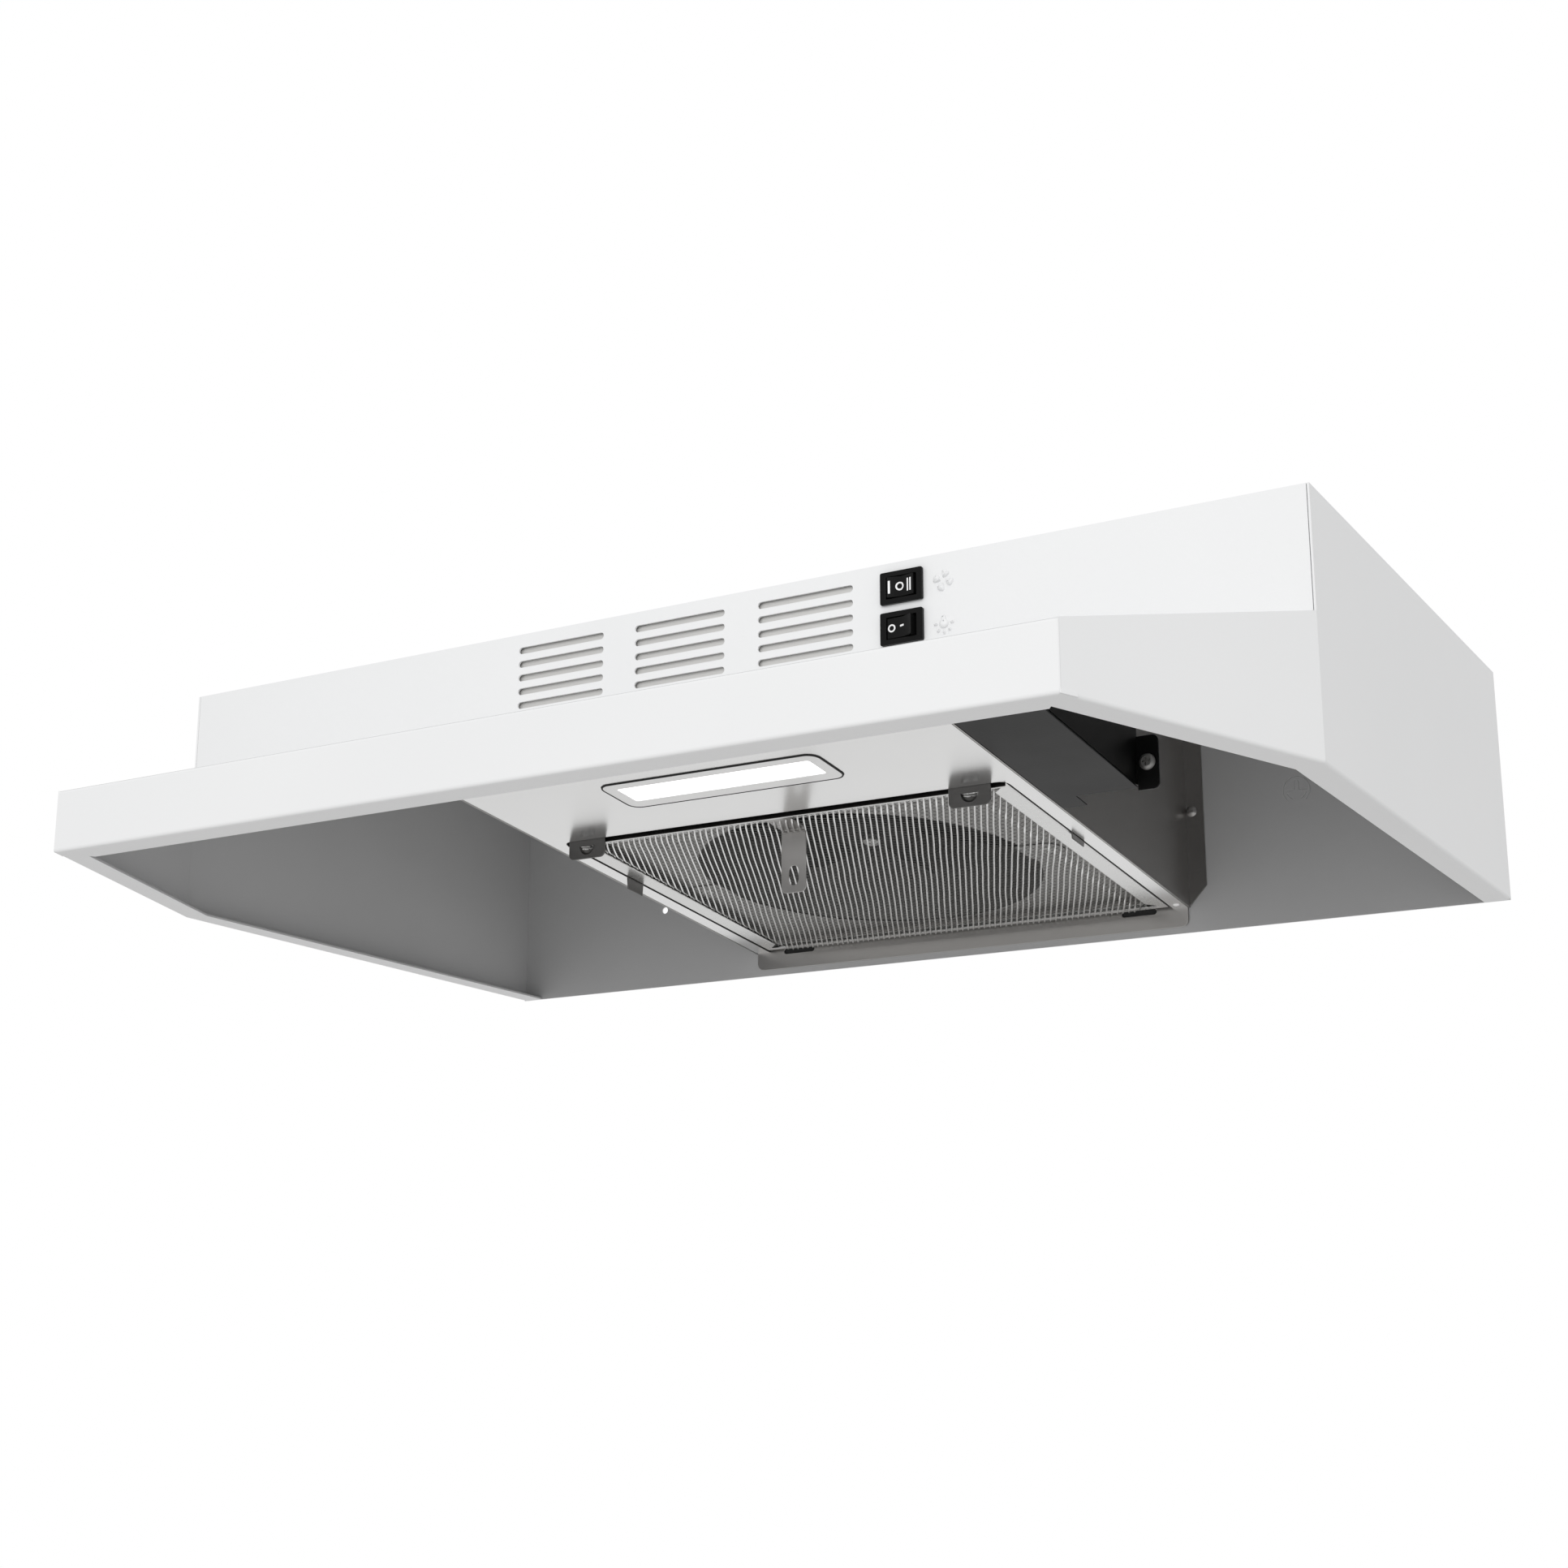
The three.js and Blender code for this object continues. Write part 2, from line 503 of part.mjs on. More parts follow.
// ---- wiring box ----
function wiringBox() {
  const { x0, x1, back, tongueX, tongueBack } = WIRING;
  const front = PLENUM_FRONT;
  const f = tiltedFrame(0, 0);
  const cover = outline([[x0, along(front)], [x1, along(front)], [x1, along(back)],
    [tongueX, along(back)], [tongueX, along(tongueBack)], [x0, along(tongueBack)]]);
  piece(f, 'wiring_cover', extrudeZ(cover, 0, THIN), BLACK_PAINT());

  const top = -SHEET - GAP;
  const floor = THIN + GAP;
  const up = (y) => [y, panelZ(y) + floor + 0.1];
  const wall = extrudeX(outline([[SHEET + 0.4, top], [back, top], up(back), up(front),
    [front, visorZ(front) - 1.4], [-0.6, visorZ(-0.6) - 1.4], [SHEET + 0.4, visorZ(0) - 1.2]]),
  x1 - THIN, x1);
  const rear = box(x0, x1, back - THIN, back, panelZ(back - THIN) + floor + 0.2, top);
  const ear = extrudeY(roundedRect(x1 - 6, EAR_SCREW.edge, -88, -62, 3), back - THIN, back, 4);
  const coverRoom = box(x1 - 8, x1 + GAP, back - 2, back + 1, -90, -85.2);
  const screwHole = extrudeY(disc(EAR_SCREW.x, EAR_SCREW.z, 2), back - 3, back + 3, 3);
  piece(hood, 'wiring_box', cut(join(wall, rear, ear), coverRoom, screwHole), BLACK_PAINT());

  const screw = panHead(4, 2.2, 7).rotateX(-Math.PI / 2);
  piece(hood, 'wiring_box_screw', screw.translate(EAR_SCREW.x, back - THIN - GAP, EAR_SCREW.z),
    STEEL());

  piece(hood, 'terminal_block', terminalBlock(), LAMP_WHITE());
  const can = lathe([[0, 0], [13, 0], [14, 1], [14, 46], [12, 48], [0, 48]], 20);
  piece(hood, 'motor_capacitor', can.rotateX(-Math.PI / 2).translate(160, 64, -62),
    GREY_PLASTIC());
  piece(hood, 'led_driver', box(150, 172, 4, 56, -70, -56), GREY_PLASTIC());
}

function terminalBlock() {
  const [x0, x1, y0, y1, z0, z1] = [156, 172, 24, 84, -24, -8];
  const wells = [];
  for (let i = 0; i < 5; i++) {
    const y = y0 + 8 + i * 11;
    wells.push(box(x0 + 3, x1 - 3, y - 3.5, y + 3.5, z0 - 1, z0 + 5));
  }
  return cut(box(x0, x1, y0, y1, z0, z1), ...wells);
}

// ---- switches ----
function rockerSwitch(kind, z, restTilt) {
  const { x, w, h } = SWITCH;
  const border = 1.2;
  const bezel = extrudeY(roundedRect(x - w / 2, x + w / 2, z - h / 2, z + h / 2, 0.8),
    -2, -GAP, 3);
  const [bodyX, bodyZ] = [w / 2 - border, h / 2 - border];
  const body = box(x - bodyX, x + bodyX, -1, 13, z - bodyZ, z + bodyZ);
  const [wellX, wellZ] = [7.5, 5.15];
  const well = box(x - wellX, x + wellX, -4, 6, z - wellZ, z + wellZ);
  const tags = [];
  for (const dx of [-6, 0, 6]) tags.push(box(x + dx - 0.4, x + dx + 0.4, 12, 19, z - 2.4, z + 2.4));
  const solid = cut(join(bezel, body, ...tags), well);
  piece(hood, `${kind}_switch_body`, solid, BLACK_PLASTIC());

  const { half, tall, face, pivot } = ROCKER;
  const plan = outline([[-half, face - pivot], [half, face - pivot], [5.6, 1.2], [1.5, 3],
    [-1.5, 3], [-5.6, 1.2]]);
  const rocker = piece(hood, `${kind}_rocker`, extrudeZ(plan, -tall / 2, tall / 2),
    BLACK_PLASTIC());
  rocker.position.set(x, pivot, z);
  rocker.rotation.z = THREE.MathUtils.degToRad(restTilt);
}

// ---- internal leads, each held at both ends and passed through a grommet ----
function lead(name, points, radius = 1.8) {
  const curve = new THREE.CatmullRomCurve3(points.map((p) => new THREE.Vector3(...p)));
  const section = new THREE.Shape();
  section.absarc(0, 0, radius, 0, 2 * Math.PI);
  const g = new THREE.ExtrudeGeometry(section, {
    steps: 16, curveSegments: 4, extrudePath: curve, bevelEnabled: false,
  });
  piece(hood, name, g, GREY_PLASTIC());
}

function grommet(name, y, z) {
  const x = PLENUM_HALF + GAP;
  const ring = lathe([[3.1, -1.2], [6.4, -1.2], [6.4, -GAP], [4.7, -GAP], [4.7, THIN + GAP],
    [6.4, THIN + GAP], [6.4, THIN + 1.2], [3.1, THIN + 1.2], [3.1, -1.2]], 16);
  piece(hood, name, ring.rotateY(Math.PI / 2).translate(x, y, z), BLACK_PLASTIC());
}

function leads() {
  const hole = PLENUM_HALF + GAP;
  const [my, mz] = LEAD_HOLES.motor;
  lead('motor_lead', [[26, 166, -24], [40, 150, -16], [70, 112, -14], [104, 72, -26],
    [hole - 8, my, mz], [hole + 8, my, mz], [150, my - 3, mz + 3]]);
  const [ly, lz] = LEAD_HOLES.lamp;
  lead('lamp_lead', [[58.2, 40, -69], [72, 39, -67], [104, 36, -57], [hole - 8, ly, lz],
    [hole + 8, ly, lz], [147, ly + 1, lz - 5]]);
  const [sy, sz] = LEAD_HOLES.switch;
  lead('switch_lead', [[116, 21.6, -14], [118, 29, -15], [hole - 6, sy, sz], [hole + 8, sy, sz],
    [155, sy + 1, sz]]);
  for (const [name, [y, z]] of Object.entries(LEAD_HOLES)) grommet(`${name}_grommet`, y, z);
}

topPanel();
frontPanel();
airDeflector();
visor();
mitredEnd('mitre_panel_left', -1);
mitredEnd('mitre_panel_right', 1);
sidePanel('side_panel_left', -1);
sidePanel('side_panel_right', 1);
backPanel();
plenumPanel();
plenumSide('plenum_side_left', -1);
plenumSide('plenum_side_right', 1);
filter();
frontCatch('filter_catch_left', -110.5);
frontCatch('filter_catch_right', 106.5);
sideGuide('filter_guide_left', -1, 144, 6.4);
sideGuide('filter_guide_right', 1, 162.5, 2.8);
lamp();
fan();
fanScrews();
wiringBox();
rockerSwitch('fan', SWITCH.fanZ, 0);
rockerSwitch('light', SWITCH.lightZ, -ROCKER.tilt);
leads();

const part = new THREE.Group();
hood.position.set(0, -DEPTH / 2, 0);
part.add(hood);

export default part;
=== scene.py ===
# %% [markdown]
# # An under-cabinet range hood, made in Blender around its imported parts
# A range hood is mostly folded sheet metal: a painted canopy, a bright steel deck that carries the
# lamp and the grease filter, and a fan above them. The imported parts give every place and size. This
# lesson gives each piece its folds, rounded edges and finish. Lengths are in millimetres and become
# metres only when a mesh is written, because the sizes of folded sheet are easier to read that way.

import json
import math
from contextlib import contextmanager

import bmesh
import bpy
from mathutils import Matrix, Vector
from mathutils.geometry import tessellate_polygon


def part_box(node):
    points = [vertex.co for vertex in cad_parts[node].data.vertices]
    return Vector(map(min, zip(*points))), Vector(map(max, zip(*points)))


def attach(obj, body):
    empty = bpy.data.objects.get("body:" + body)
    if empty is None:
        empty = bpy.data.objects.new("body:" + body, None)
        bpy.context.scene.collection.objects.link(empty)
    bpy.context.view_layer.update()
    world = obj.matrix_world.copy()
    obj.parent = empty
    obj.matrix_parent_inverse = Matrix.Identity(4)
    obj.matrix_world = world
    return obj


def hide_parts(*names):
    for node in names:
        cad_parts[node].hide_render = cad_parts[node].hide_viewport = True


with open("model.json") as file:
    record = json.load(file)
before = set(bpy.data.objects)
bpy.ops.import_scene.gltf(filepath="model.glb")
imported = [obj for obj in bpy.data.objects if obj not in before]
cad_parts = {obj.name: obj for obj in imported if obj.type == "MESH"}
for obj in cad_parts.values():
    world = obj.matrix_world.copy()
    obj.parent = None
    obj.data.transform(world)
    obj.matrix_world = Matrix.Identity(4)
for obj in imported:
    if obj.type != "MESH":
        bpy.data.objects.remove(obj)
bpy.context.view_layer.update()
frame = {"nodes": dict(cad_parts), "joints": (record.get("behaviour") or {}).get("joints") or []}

# %% [markdown]
# ## Where things are
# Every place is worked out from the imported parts. In the hood's own measure, x = 0 is the middle,
# y = 0 is the front panel's outer face and z = 0 is the top face. The deck is the sloping steel
# underside. It is square to the fan's axis, and the fan's joint starts on it, so that joint gives
# the deck's whole plane.

# %% Read the driving sizes
MM = 0.001


def in_hood(place):
    """A place in metres as millimetres, with y from the front panel."""
    return Vector(place) / MM - Vector((0, FRONT, 0))


def reach(node):
    """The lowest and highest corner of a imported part, in the hood's own measure."""
    return [in_hood(corner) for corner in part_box(node)]


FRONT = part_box("upper_front_panel")[0].y / MM
HALF = reach("side_panel_right")[1].x
DEPTH = reach("back_panel")[1].y
HEIGHT = -reach("back_panel")[0].z
VISOR = -reach("visor_front_panel")[0].y
BROW_Z = reach("visor_front_panel")[1].z
SHOULDER_Z = reach("mitre_panel_right")[1].z
VISOR_SLOPE = (SHOULDER_Z - BROW_Z) / VISOR
MITRE = 52.9
SHEET = 1.0
THIN = 0.8

joints = {joint["name"]: joint for joint in frame["joints"]}
UP = Vector(joints["impeller_spin"]["axis"]).normalized()
FAN = in_hood(joints["impeller_spin"]["pos_m"])
DECK_SLOPE = UP.y / UP.z


def deck_z(y):
    """Height of the deck's underside."""
    return FAN.z - DECK_SLOPE * (y - FAN.y)


def on_deck(x, y, up=0.0):
    """A point over the deck's underside, raised square to it."""
    return Vector((x, y, deck_z(y))) + UP * up


def visor_z(y):
    """Height of the visor's sloping top."""
    return SHOULDER_Z + VISOR_SLOPE * y


def mitre_x(y):
    """Half width of the hood at a depth: the visor's ends are cut at an angle."""
    return HALF + MITRE / VISOR * min(y, 0)


print(f"hood {2 * HALF:.1f} wide, {DEPTH + VISOR:.1f} deep, {HEIGHT:.1f} high; fan at {FAN}")

# %% [markdown]
# ## Camera, floor and light
# The hood hangs, and is seen from below at its front right corner. A pale floor far below it acts
# as the studio's big reflector: the steel deck is a mirror for it. A soft key light in front
# makes the front faces the brightest, so the right end reads as a separate face.

# %% Set the camera and lights
scene = bpy.context.scene
scene.view_settings.view_transform = "Standard"


def placed(name, data):
    """A new object in the scene that holds this data."""
    obj = bpy.data.objects.new(name, data)
    scene.collection.objects.link(obj)
    return obj


CAMERA_AT = Vector((0.574196, -1.048692, -0.368649))
CAMERA_ALONG = Vector((-0.4833, 0.8376, 0.2550))
LENS_MM = 54.96
camera_data = bpy.data.cameras.new("camera")
camera_data.lens = LENS_MM
camera_data.clip_start = 0.01
camera = placed("camera", camera_data)
camera.location = CAMERA_AT
camera.rotation_euler = CAMERA_ALONG.to_track_quat("-Z", "Y").to_euler()
scene.camera = camera

FLOOR_Z = -1.5


def studio_world(sky, seen):
    """An even white sky. The camera sees it brighter than it lights, so the backdrop stays white."""
    world = bpy.data.worlds.new("studio")
    scene.world = world
    world.use_nodes = True
    nodes, links = world.node_tree.nodes, world.node_tree.links
    light_path = nodes.new("ShaderNodeLightPath")
    blend = nodes.new("ShaderNodeMix")
    blend.data_type = "FLOAT"
    blend.inputs[2].default_value = sky
    blend.inputs[3].default_value = seen
    links.new(light_path.outputs["Is Camera Ray"], blend.inputs[0])
    links.new(blend.outputs[0], nodes["Background"].inputs["Strength"])
    nodes["Background"].inputs["Color"].default_value = (1.0, 1.0, 1.0, 1.0)


def soft_light(name, place, aim, size, power):
    """A square area light aimed at a point."""
    data = bpy.data.lights.new(name, "AREA")
    data.size = size
    data.energy = power
    lamp = placed(name, data)
    lamp.location = place
    lamp.rotation_euler = (Vector(aim) - Vector(place)).to_track_quat("-Z", "Y").to_euler()


studio_world(sky=0.74, seen=1.0)
soft_light("key_light", place=(1.1, -3.2, 0.9), aim=(0, 0, -0.05), size=2.2, power=44)
print("camera at", tuple(CAMERA_AT))

# %% [markdown]
# ## Shader maths as plain expressions
# A finish is a small sum of patterns. Wrapping a node's output in a class with overloaded operators
# lets that sum be written as one. Any other node comes from one method, which takes the node's type,
# its settings and the values or links of its inputs. Geometry Nodes use the same class.

# %% A socket that can be added and multiplied
class Wire:
    """One output socket, usable in expressions."""

    def __init__(self, tree, socket):
        self.tree = tree
        self.socket = socket

    def maths(self, operation, first, second=None):
        values = {0: first} if second is None else {0: first, 1: second}
        return self.tree.node("ShaderNodeMath", {"operation": operation}, values)

    def __add__(self, other):
        return self.maths("ADD", self, other)

    def __mul__(self, other):
        return self.maths("MULTIPLY", self, other)

    def __sub__(self, other):
        return self.maths("SUBTRACT", self, other)

    def __rsub__(self, other):
        return self.maths("SUBTRACT", other, self)

    def __truediv__(self, other):
        return self.maths("DIVIDE", self, other)

    def __rtruediv__(self, other):
        return self.maths("DIVIDE", other, self)

    def __lt__(self, other):
        return self.maths("LESS_THAN", self, other)

    def __abs__(self):
        return self.maths("ABSOLUTE", self)

    __radd__ = __add__
    __rmul__ = __mul__

    def least(self, other):
        return self.maths("MINIMUM", self, other)

    def most(self, other):
        return self.maths("MAXIMUM", self, other)


class Tree:
    """A node tree that is filled by method calls."""

    def __init__(self, tree):
        self.tree = tree

    def node(self, kind, settings=None, inputs=None, output=0):
        made = self.tree.nodes.new(kind)
        for name, value in (settings or {}).items():
            setattr(made, name, value)
        for name, value in (inputs or {}).items():
            self.feed(made.inputs[name], value)
        return Wire(self, made.outputs[output])

    def feed(self, socket, value):
        if isinstance(value, Wire):
            self.tree.links.new(value.socket, socket)
        elif value is not None:
            socket.default_value = value


print("expressions ready")

# %% [markdown]
# ## Finishes
# Real sheet finishes are never one flat colour. Powder coat has a fine orange-peel texture and a
# faint cloudiness. Coated steel has grain along the roll and slightly uneven gloss. Each finish here
# takes patterns on Object coordinates, because every piece sits at the origin in real size.

# %% A finish builder
class Finish(Tree):
    """A Principled material. Numbers set its own sockets and patterns are linked."""

    def __init__(self, name):
        self.material = bpy.data.materials.new(name)
        self.material.use_nodes = True
        super().__init__(self.material.node_tree)
        self.shader = self.tree.nodes["Principled BSDF"]
        self.place = self.node("ShaderNodeTexCoord", output="Object")

    def stretched(self, x, y, z):
        """Object coordinates multiplied by three numbers."""
        return self.node("ShaderNodeMapping", {}, {"Vector": self.place, "Scale": (x, y, z)})

    def noise(self, scale, detail=2.0, roughness=0.5, vector=None):
        values = {"Vector": vector or self.place, "Scale": scale, "Detail": detail,
                  "Roughness": roughness}
        return self.node("ShaderNodeTexNoise", {}, values)

    def blend(self, share, dark, light):
        """A colour between two others."""
        values = {0: share, 6: (*dark, 1.0), 7: (*light, 1.0)}
        return self.node("ShaderNodeMix", {"data_type": "RGBA"}, values, output=2)

    def bump(self, height, strength, distance):
        values = {"Height": height, "Strength": strength, "Distance": distance}
        return self.node("ShaderNodeBump", {}, values)

    def set(self, **inputs):
        names = {key.replace("_", " ").title(): value for key, value in inputs.items()}
        for name, value in names.items():
            self.feed(self.shader.inputs[name.replace("Ior", "IOR")], value)
        return self.material


def clouds(finish, low, high, scale=9.0):
    """Slow variation between two numbers."""
    return low + (high - low) * finish.noise(scale, 2.0)


def powder_coat(name, dark, light, gloss, shine=0.4):
    """Baked paint: faint clouds in the colour, orange peel in the surface."""
    f = Finish(name)
    peel = f.noise(900.0, 2.0, 0.4) + 0.5 * f.noise(2600.0, 1.0)
    return f.set(base_color=f.blend(f.noise(7.0, 3.0), dark, light),
                 roughness=clouds(f, gloss - 0.04, gloss + 0.04, 30.0),
                 specular_ior_level=shine,
                 normal=f.bump(peel, 0.05, 0.0004))


def rolled_metal(name, dark, light, gloss, grain=(40.0, 900.0, 900.0)):
    """Bare or clear-coated metal with fine grain along x."""
    f = Finish(name)
    lines = f.noise(1.0, 3.0, 0.6, f.stretched(*grain))
    speckle = f.noise(1400.0, 1.0)
    shade = 0.6 * f.noise(12.0, 3.0) + 0.4 * lines
    return f.set(base_color=f.blend(shade, dark, light), metallic=1.0,
                 roughness=gloss + 0.05 * lines + 0.03 * f.noise(20.0, 2.0),
                 normal=f.bump(lines + 0.4 * speckle, 0.05, 0.0002))


def moulded(name, dark, light, gloss, grain=1600.0, depth=0.08, shine=0.5):
    """Moulded plastic with a fine eroded texture."""
    f = Finish(name)
    spark = f.noise(grain, 2.0, 0.6)
    return f.set(base_color=f.blend(f.noise(60.0, 2.0), dark, light),
                 roughness=gloss + 0.06 * f.noise(300.0, 2.0), specular_ior_level=shine,
                 normal=f.bump(spark, depth, 0.0002))


def lit_diffuser(name, colour, strength):
    """An opal sheet with a lit board behind it, faintly mottled."""
    f = Finish(name)
    return f.set(base_color=(0.95, 0.95, 0.94, 1.0), roughness=0.3,
                 emission_color=f.blend(f.noise(90.0, 2.0), colour, (1.0, 1.0, 1.0)),
                 emission_strength=strength)


FINE_GRAIN = (500.0, 500.0, 500.0)
STRAND_GRAIN = (700.0, 700.0, 700.0)
print("makers:", powder_coat.__name__, rolled_metal.__name__, moulded.__name__, lit_diffuser.__name__)

# %% Make the finishes
WHITE = powder_coat("white_powder_coat", (0.80, 0.805, 0.81), (0.84, 0.843, 0.845), 0.42)
STEEL = rolled_metal("satin_deck_steel", (0.93, 0.93, 0.925), (0.98, 0.98, 0.975), 0.2)
GALVANISED = rolled_metal("galvanised_sheet", (0.36, 0.355, 0.345), (0.44, 0.435, 0.425), 0.5)
# Painted light: galvanised sheet lightened for the deflector seen through the front slots, for the light that
# comes through them.
LIT_GALVANISED = rolled_metal("bright_galvanised_sheet", (0.66, 0.655, 0.64), (0.76, 0.755, 0.74), 0.5)
# Painted shade: near-black steel for faces inside the fan chamber and round the inlet, where light does not
# reach.
CHAMBER_SHADE = rolled_metal("fan_chamber_steel", (0.04, 0.04, 0.04), (0.065, 0.065, 0.064), 0.4)
# Painted shade: the white coat greyed for inner faces, for the shade inside the canopy.
INNER_SHADE = powder_coat("inner_coat", (0.50, 0.502, 0.505), (0.55, 0.552, 0.555), 0.5)
# Painted shade: spring steel darkened for the catches and filter guides, for the shade and dark reflection on
# their front faces.
SPRING_SHADE = rolled_metal("dark_spring_steel", (0.13, 0.128, 0.125), (0.18, 0.177, 0.173), 0.32)
# Painted shade: the deck's own steel darkened for the ceiling of the filter seat.
SHADED = rolled_metal("galvanised_ceiling", (0.42, 0.413, 0.40), (0.50, 0.492, 0.48), 0.34)
# Painted shade: satin steel darkened for upright faces in shade: the deck's rear flange, the chamber's sides,
# the pull tab and the rivets.
STEEL_SHADE = rolled_metal("satin_side_steel", (0.40, 0.39, 0.38), (0.48, 0.47, 0.46), 0.26)
ZINC = rolled_metal("zinc_plate", (0.60, 0.60, 0.58), (0.74, 0.74, 0.73), 0.28, FINE_GRAIN)
ALUMINIUM = rolled_metal("filter_aluminium", (0.80, 0.80, 0.79), (0.90, 0.90, 0.89), 0.24,
                         FINE_GRAIN)
# Bright strand aluminium, also used for the painted highlight on the catches' pockets.
STRAND_AND_HIGHLIGHT = rolled_metal("strand_aluminium", (0.93, 0.93, 0.92), (0.98, 0.98, 0.97), 0.2,
                      STRAND_GRAIN)
# Painted shade: near-black strand metal for the upper slanting strands and the band's front face, which lie
# in shade.
STRAND_SHADE = rolled_metal("dull_strand_aluminium", (0.03, 0.029, 0.028), (0.05, 0.049, 0.047), 0.4,
                           STRAND_GRAIN)
BLACK_PAINT = powder_coat("black_box_paint", (0.004, 0.004, 0.004), (0.007, 0.007, 0.007), 0.4, 0.22)
BLACK_PLASTIC = moulded("black_switch_plastic", (0.004, 0.004, 0.004), (0.007, 0.007, 0.007), 0.3,
                        2200.0, 0.02, 0.12)
FAN_PLASTIC = moulded("fan_plastic", (0.006, 0.006, 0.006), (0.011, 0.011, 0.011), 0.5, shine=0.2)
MOTOR_GREY = moulded("motor_enamel", (0.07, 0.07, 0.075), (0.11, 0.11, 0.115), 0.45)
LAMP_WHITE = moulded("lamp_bezel_plastic", (0.93, 0.93, 0.925), (0.97, 0.97, 0.965), 0.22, 2500, 0.02)
MARK_WHITE = moulded("printed_mark", (0.82, 0.82, 0.82), (0.9, 0.9, 0.9), 0.4)
LENS = lit_diffuser("lamp_diffuser", (0.97, 0.98, 1.0), 1.15)
BOARD = moulded("lamp_board", (0.72, 0.74, 0.72), (0.8, 0.82, 0.8), 0.35)
SLEEVE = moulded("lead_sleeve", (0.06, 0.06, 0.062), (0.1, 0.1, 0.1), 0.4)
RUBBER = moulded("grommet_rubber", (0.012, 0.012, 0.012), (0.02, 0.02, 0.02), 0.65)
print("finishes:", len(bpy.data.materials))

# %% [markdown]
# ## Mesh helpers
# Two shapes cover nearly all sheet work. A plate is a flat outline with holes and softly rounded
# edges. A fold is a section that runs along corner points. Both are written as plain points and
# faces, so the edge radius is exact and no tool has to guess.

# %% Outlines
def polar(r, angle, cx=0.0, cy=0.0):
    """The point at this distance and angle from a centre."""
    return cx + r * math.cos(angle), cy + r * math.sin(angle)


def rounded_rect(x0, x1, y0, y1, r, steps=6):
    """Corner points of a rectangle with round corners, counter-clockwise."""
    corners = [(x1 - r, y0 + r, -90), (x1 - r, y1 - r, 0), (x0 + r, y1 - r, 90), (x0 + r, y0 + r, 180)]
    return [polar(r, math.radians(start + 90 * i / steps), cx, cy)
            for cx, cy, start in corners for i in range(steps + 1)]


def hanging(x0, x1, low, top, r, steps=6):
    """The outline of a leaf that hangs from a straight top edge: only its lower corners are round."""
    corners = rounded_rect(x0, x1, low, top, r, steps)
    return [(x0, top)] + corners[-steps - 1:] + corners[:steps + 1] + [(x1, top)]


def circle(cx, cy, r, count=32):
    """Points round a circle, counter-clockwise."""
    return [polar(r, 2 * math.pi * i / count, cx, cy) for i in range(count)]


def area(loop):
    """Signed area of an outline: positive when it runs counter-clockwise."""
    pairs = zip(loop, loop[1:] + loop[:1])
    return sum(a[0] * b[1] - b[0] * a[1] for a, b in pairs) / 2


def turned(loop, clockwise):
    """The outline, run in the direction asked for."""
    return loop if (area(loop) < 0) == clockwise else loop[::-1]


def left_of(along):
    """The unit direction to the left of a flat direction."""
    return Vector((-along.y, along.x)).normalized()


SHARPEST = 0.35


def inset(loop, distance):
    """The loop moved to its left, into the material, by a distance."""
    made = []
    for i, point in enumerate(loop):
        before = Vector(point) - Vector(loop[i - 1])
        after = Vector(loop[(i + 1) % len(loop)]) - Vector(point)
        middle = (left_of(before) + left_of(after)).normalized()
        spread = max(middle.dot(left_of(before)), SHARPEST)
        made.append(tuple(Vector(point) + middle * (distance / spread)))
    return made


print("a circle of radius 1 as 32 points has area", round(area(circle(0, 0, 1)), 4))

# %% Faces between and over outlines
def bridge(first, second, count):
    """Quads between two closed rows of points that start at these indices."""
    return [(first + i, first + (i + 1) % count, second + (i + 1) % count, second + i)
            for i in range(count)]


def fill(loops, start):
    """Triangles over outlines with holes, whose points are stored from index start."""
    flat = [[Vector((x, y, 0)) for x, y in loop] for loop in loops]
    return [tuple(start + i for i in face) for face in tessellate_polygon(flat)]


print("a square with a round hole fills with",
      len(fill([rounded_rect(-2, 2, -2, 2, 0.5), circle(0, 0, 1)[::-1]], 0)), "triangles")

# %% Plates and folds
def plate(outer, holes, z0, z1, edge=0.2, steps=2):
    """A flat sheet from z0 to z1 with rounded edges round its outline and holes."""
    loops = [turned(list(outer), False)] + [turned(list(hole), True) for hole in holes]
    rings = [(edge * (1 - math.sin(a)), z0 + edge * (1 - math.cos(a)))
             for a in (math.pi / 2 * i / steps for i in range(steps + 1))]
    rings += [(d, z0 + z1 - z) for d, z in reversed(rings)]
    points, faces = [], []
    for depth, z in rings:
        for loop in loops:
            points += [(x, y, z) for x, y in (inset(loop, depth) if depth > 1e-6 else loop)]
    total = sum(len(loop) for loop in loops)
    start = 0
    for loop in loops:
        for ring in range(len(rings) - 1):
            faces += bridge(start + ring * total, start + (ring + 1) * total, len(loop))
        start += len(loop)
    ends = [(0, rings[0][0]), (total * (len(rings) - 1), rings[-1][0])]
    for first, depth in ends:
        faces += fill([inset(loop, depth) for loop in loops], first)
    return points, faces


def arc_corner(before, corner, after, radius, steps):
    """Points of a fold of that radius round a corner."""
    a, b = (before - corner).normalized(), (after - corner).normalized()
    half = a.angle(b) / 2
    centre = corner + (a + b).normalized() * (radius / math.sin(half))
    start = corner + a * (radius / math.tan(half)) - centre
    end = corner + b * (radius / math.tan(half)) - centre
    sweep = start.angle_signed(end)
    return [centre + Matrix.Rotation(-sweep * i / steps, 2) @ start for i in range(steps + 1)]


def folded(line, radius, thick, steps=5):
    """The section of a folded sheet as pairs of points, one on each face. line is its middle."""
    line = [Vector(p) for p in line]
    path = [line[0]]
    for i in range(1, len(line) - 1):
        path += arc_corner(line[i - 1], line[i], line[i + 1], radius, steps)
    path.append(line[-1])
    pairs = []
    for i, point in enumerate(path):
        before = path[i] - path[i - 1] if i else path[1] - path[0]
        after = path[i + 1] - path[i] if i + 1 < len(path) else before
        side = left_of(before + after) * thick / 2
        pairs.append((point + side, point - side))
    return pairs


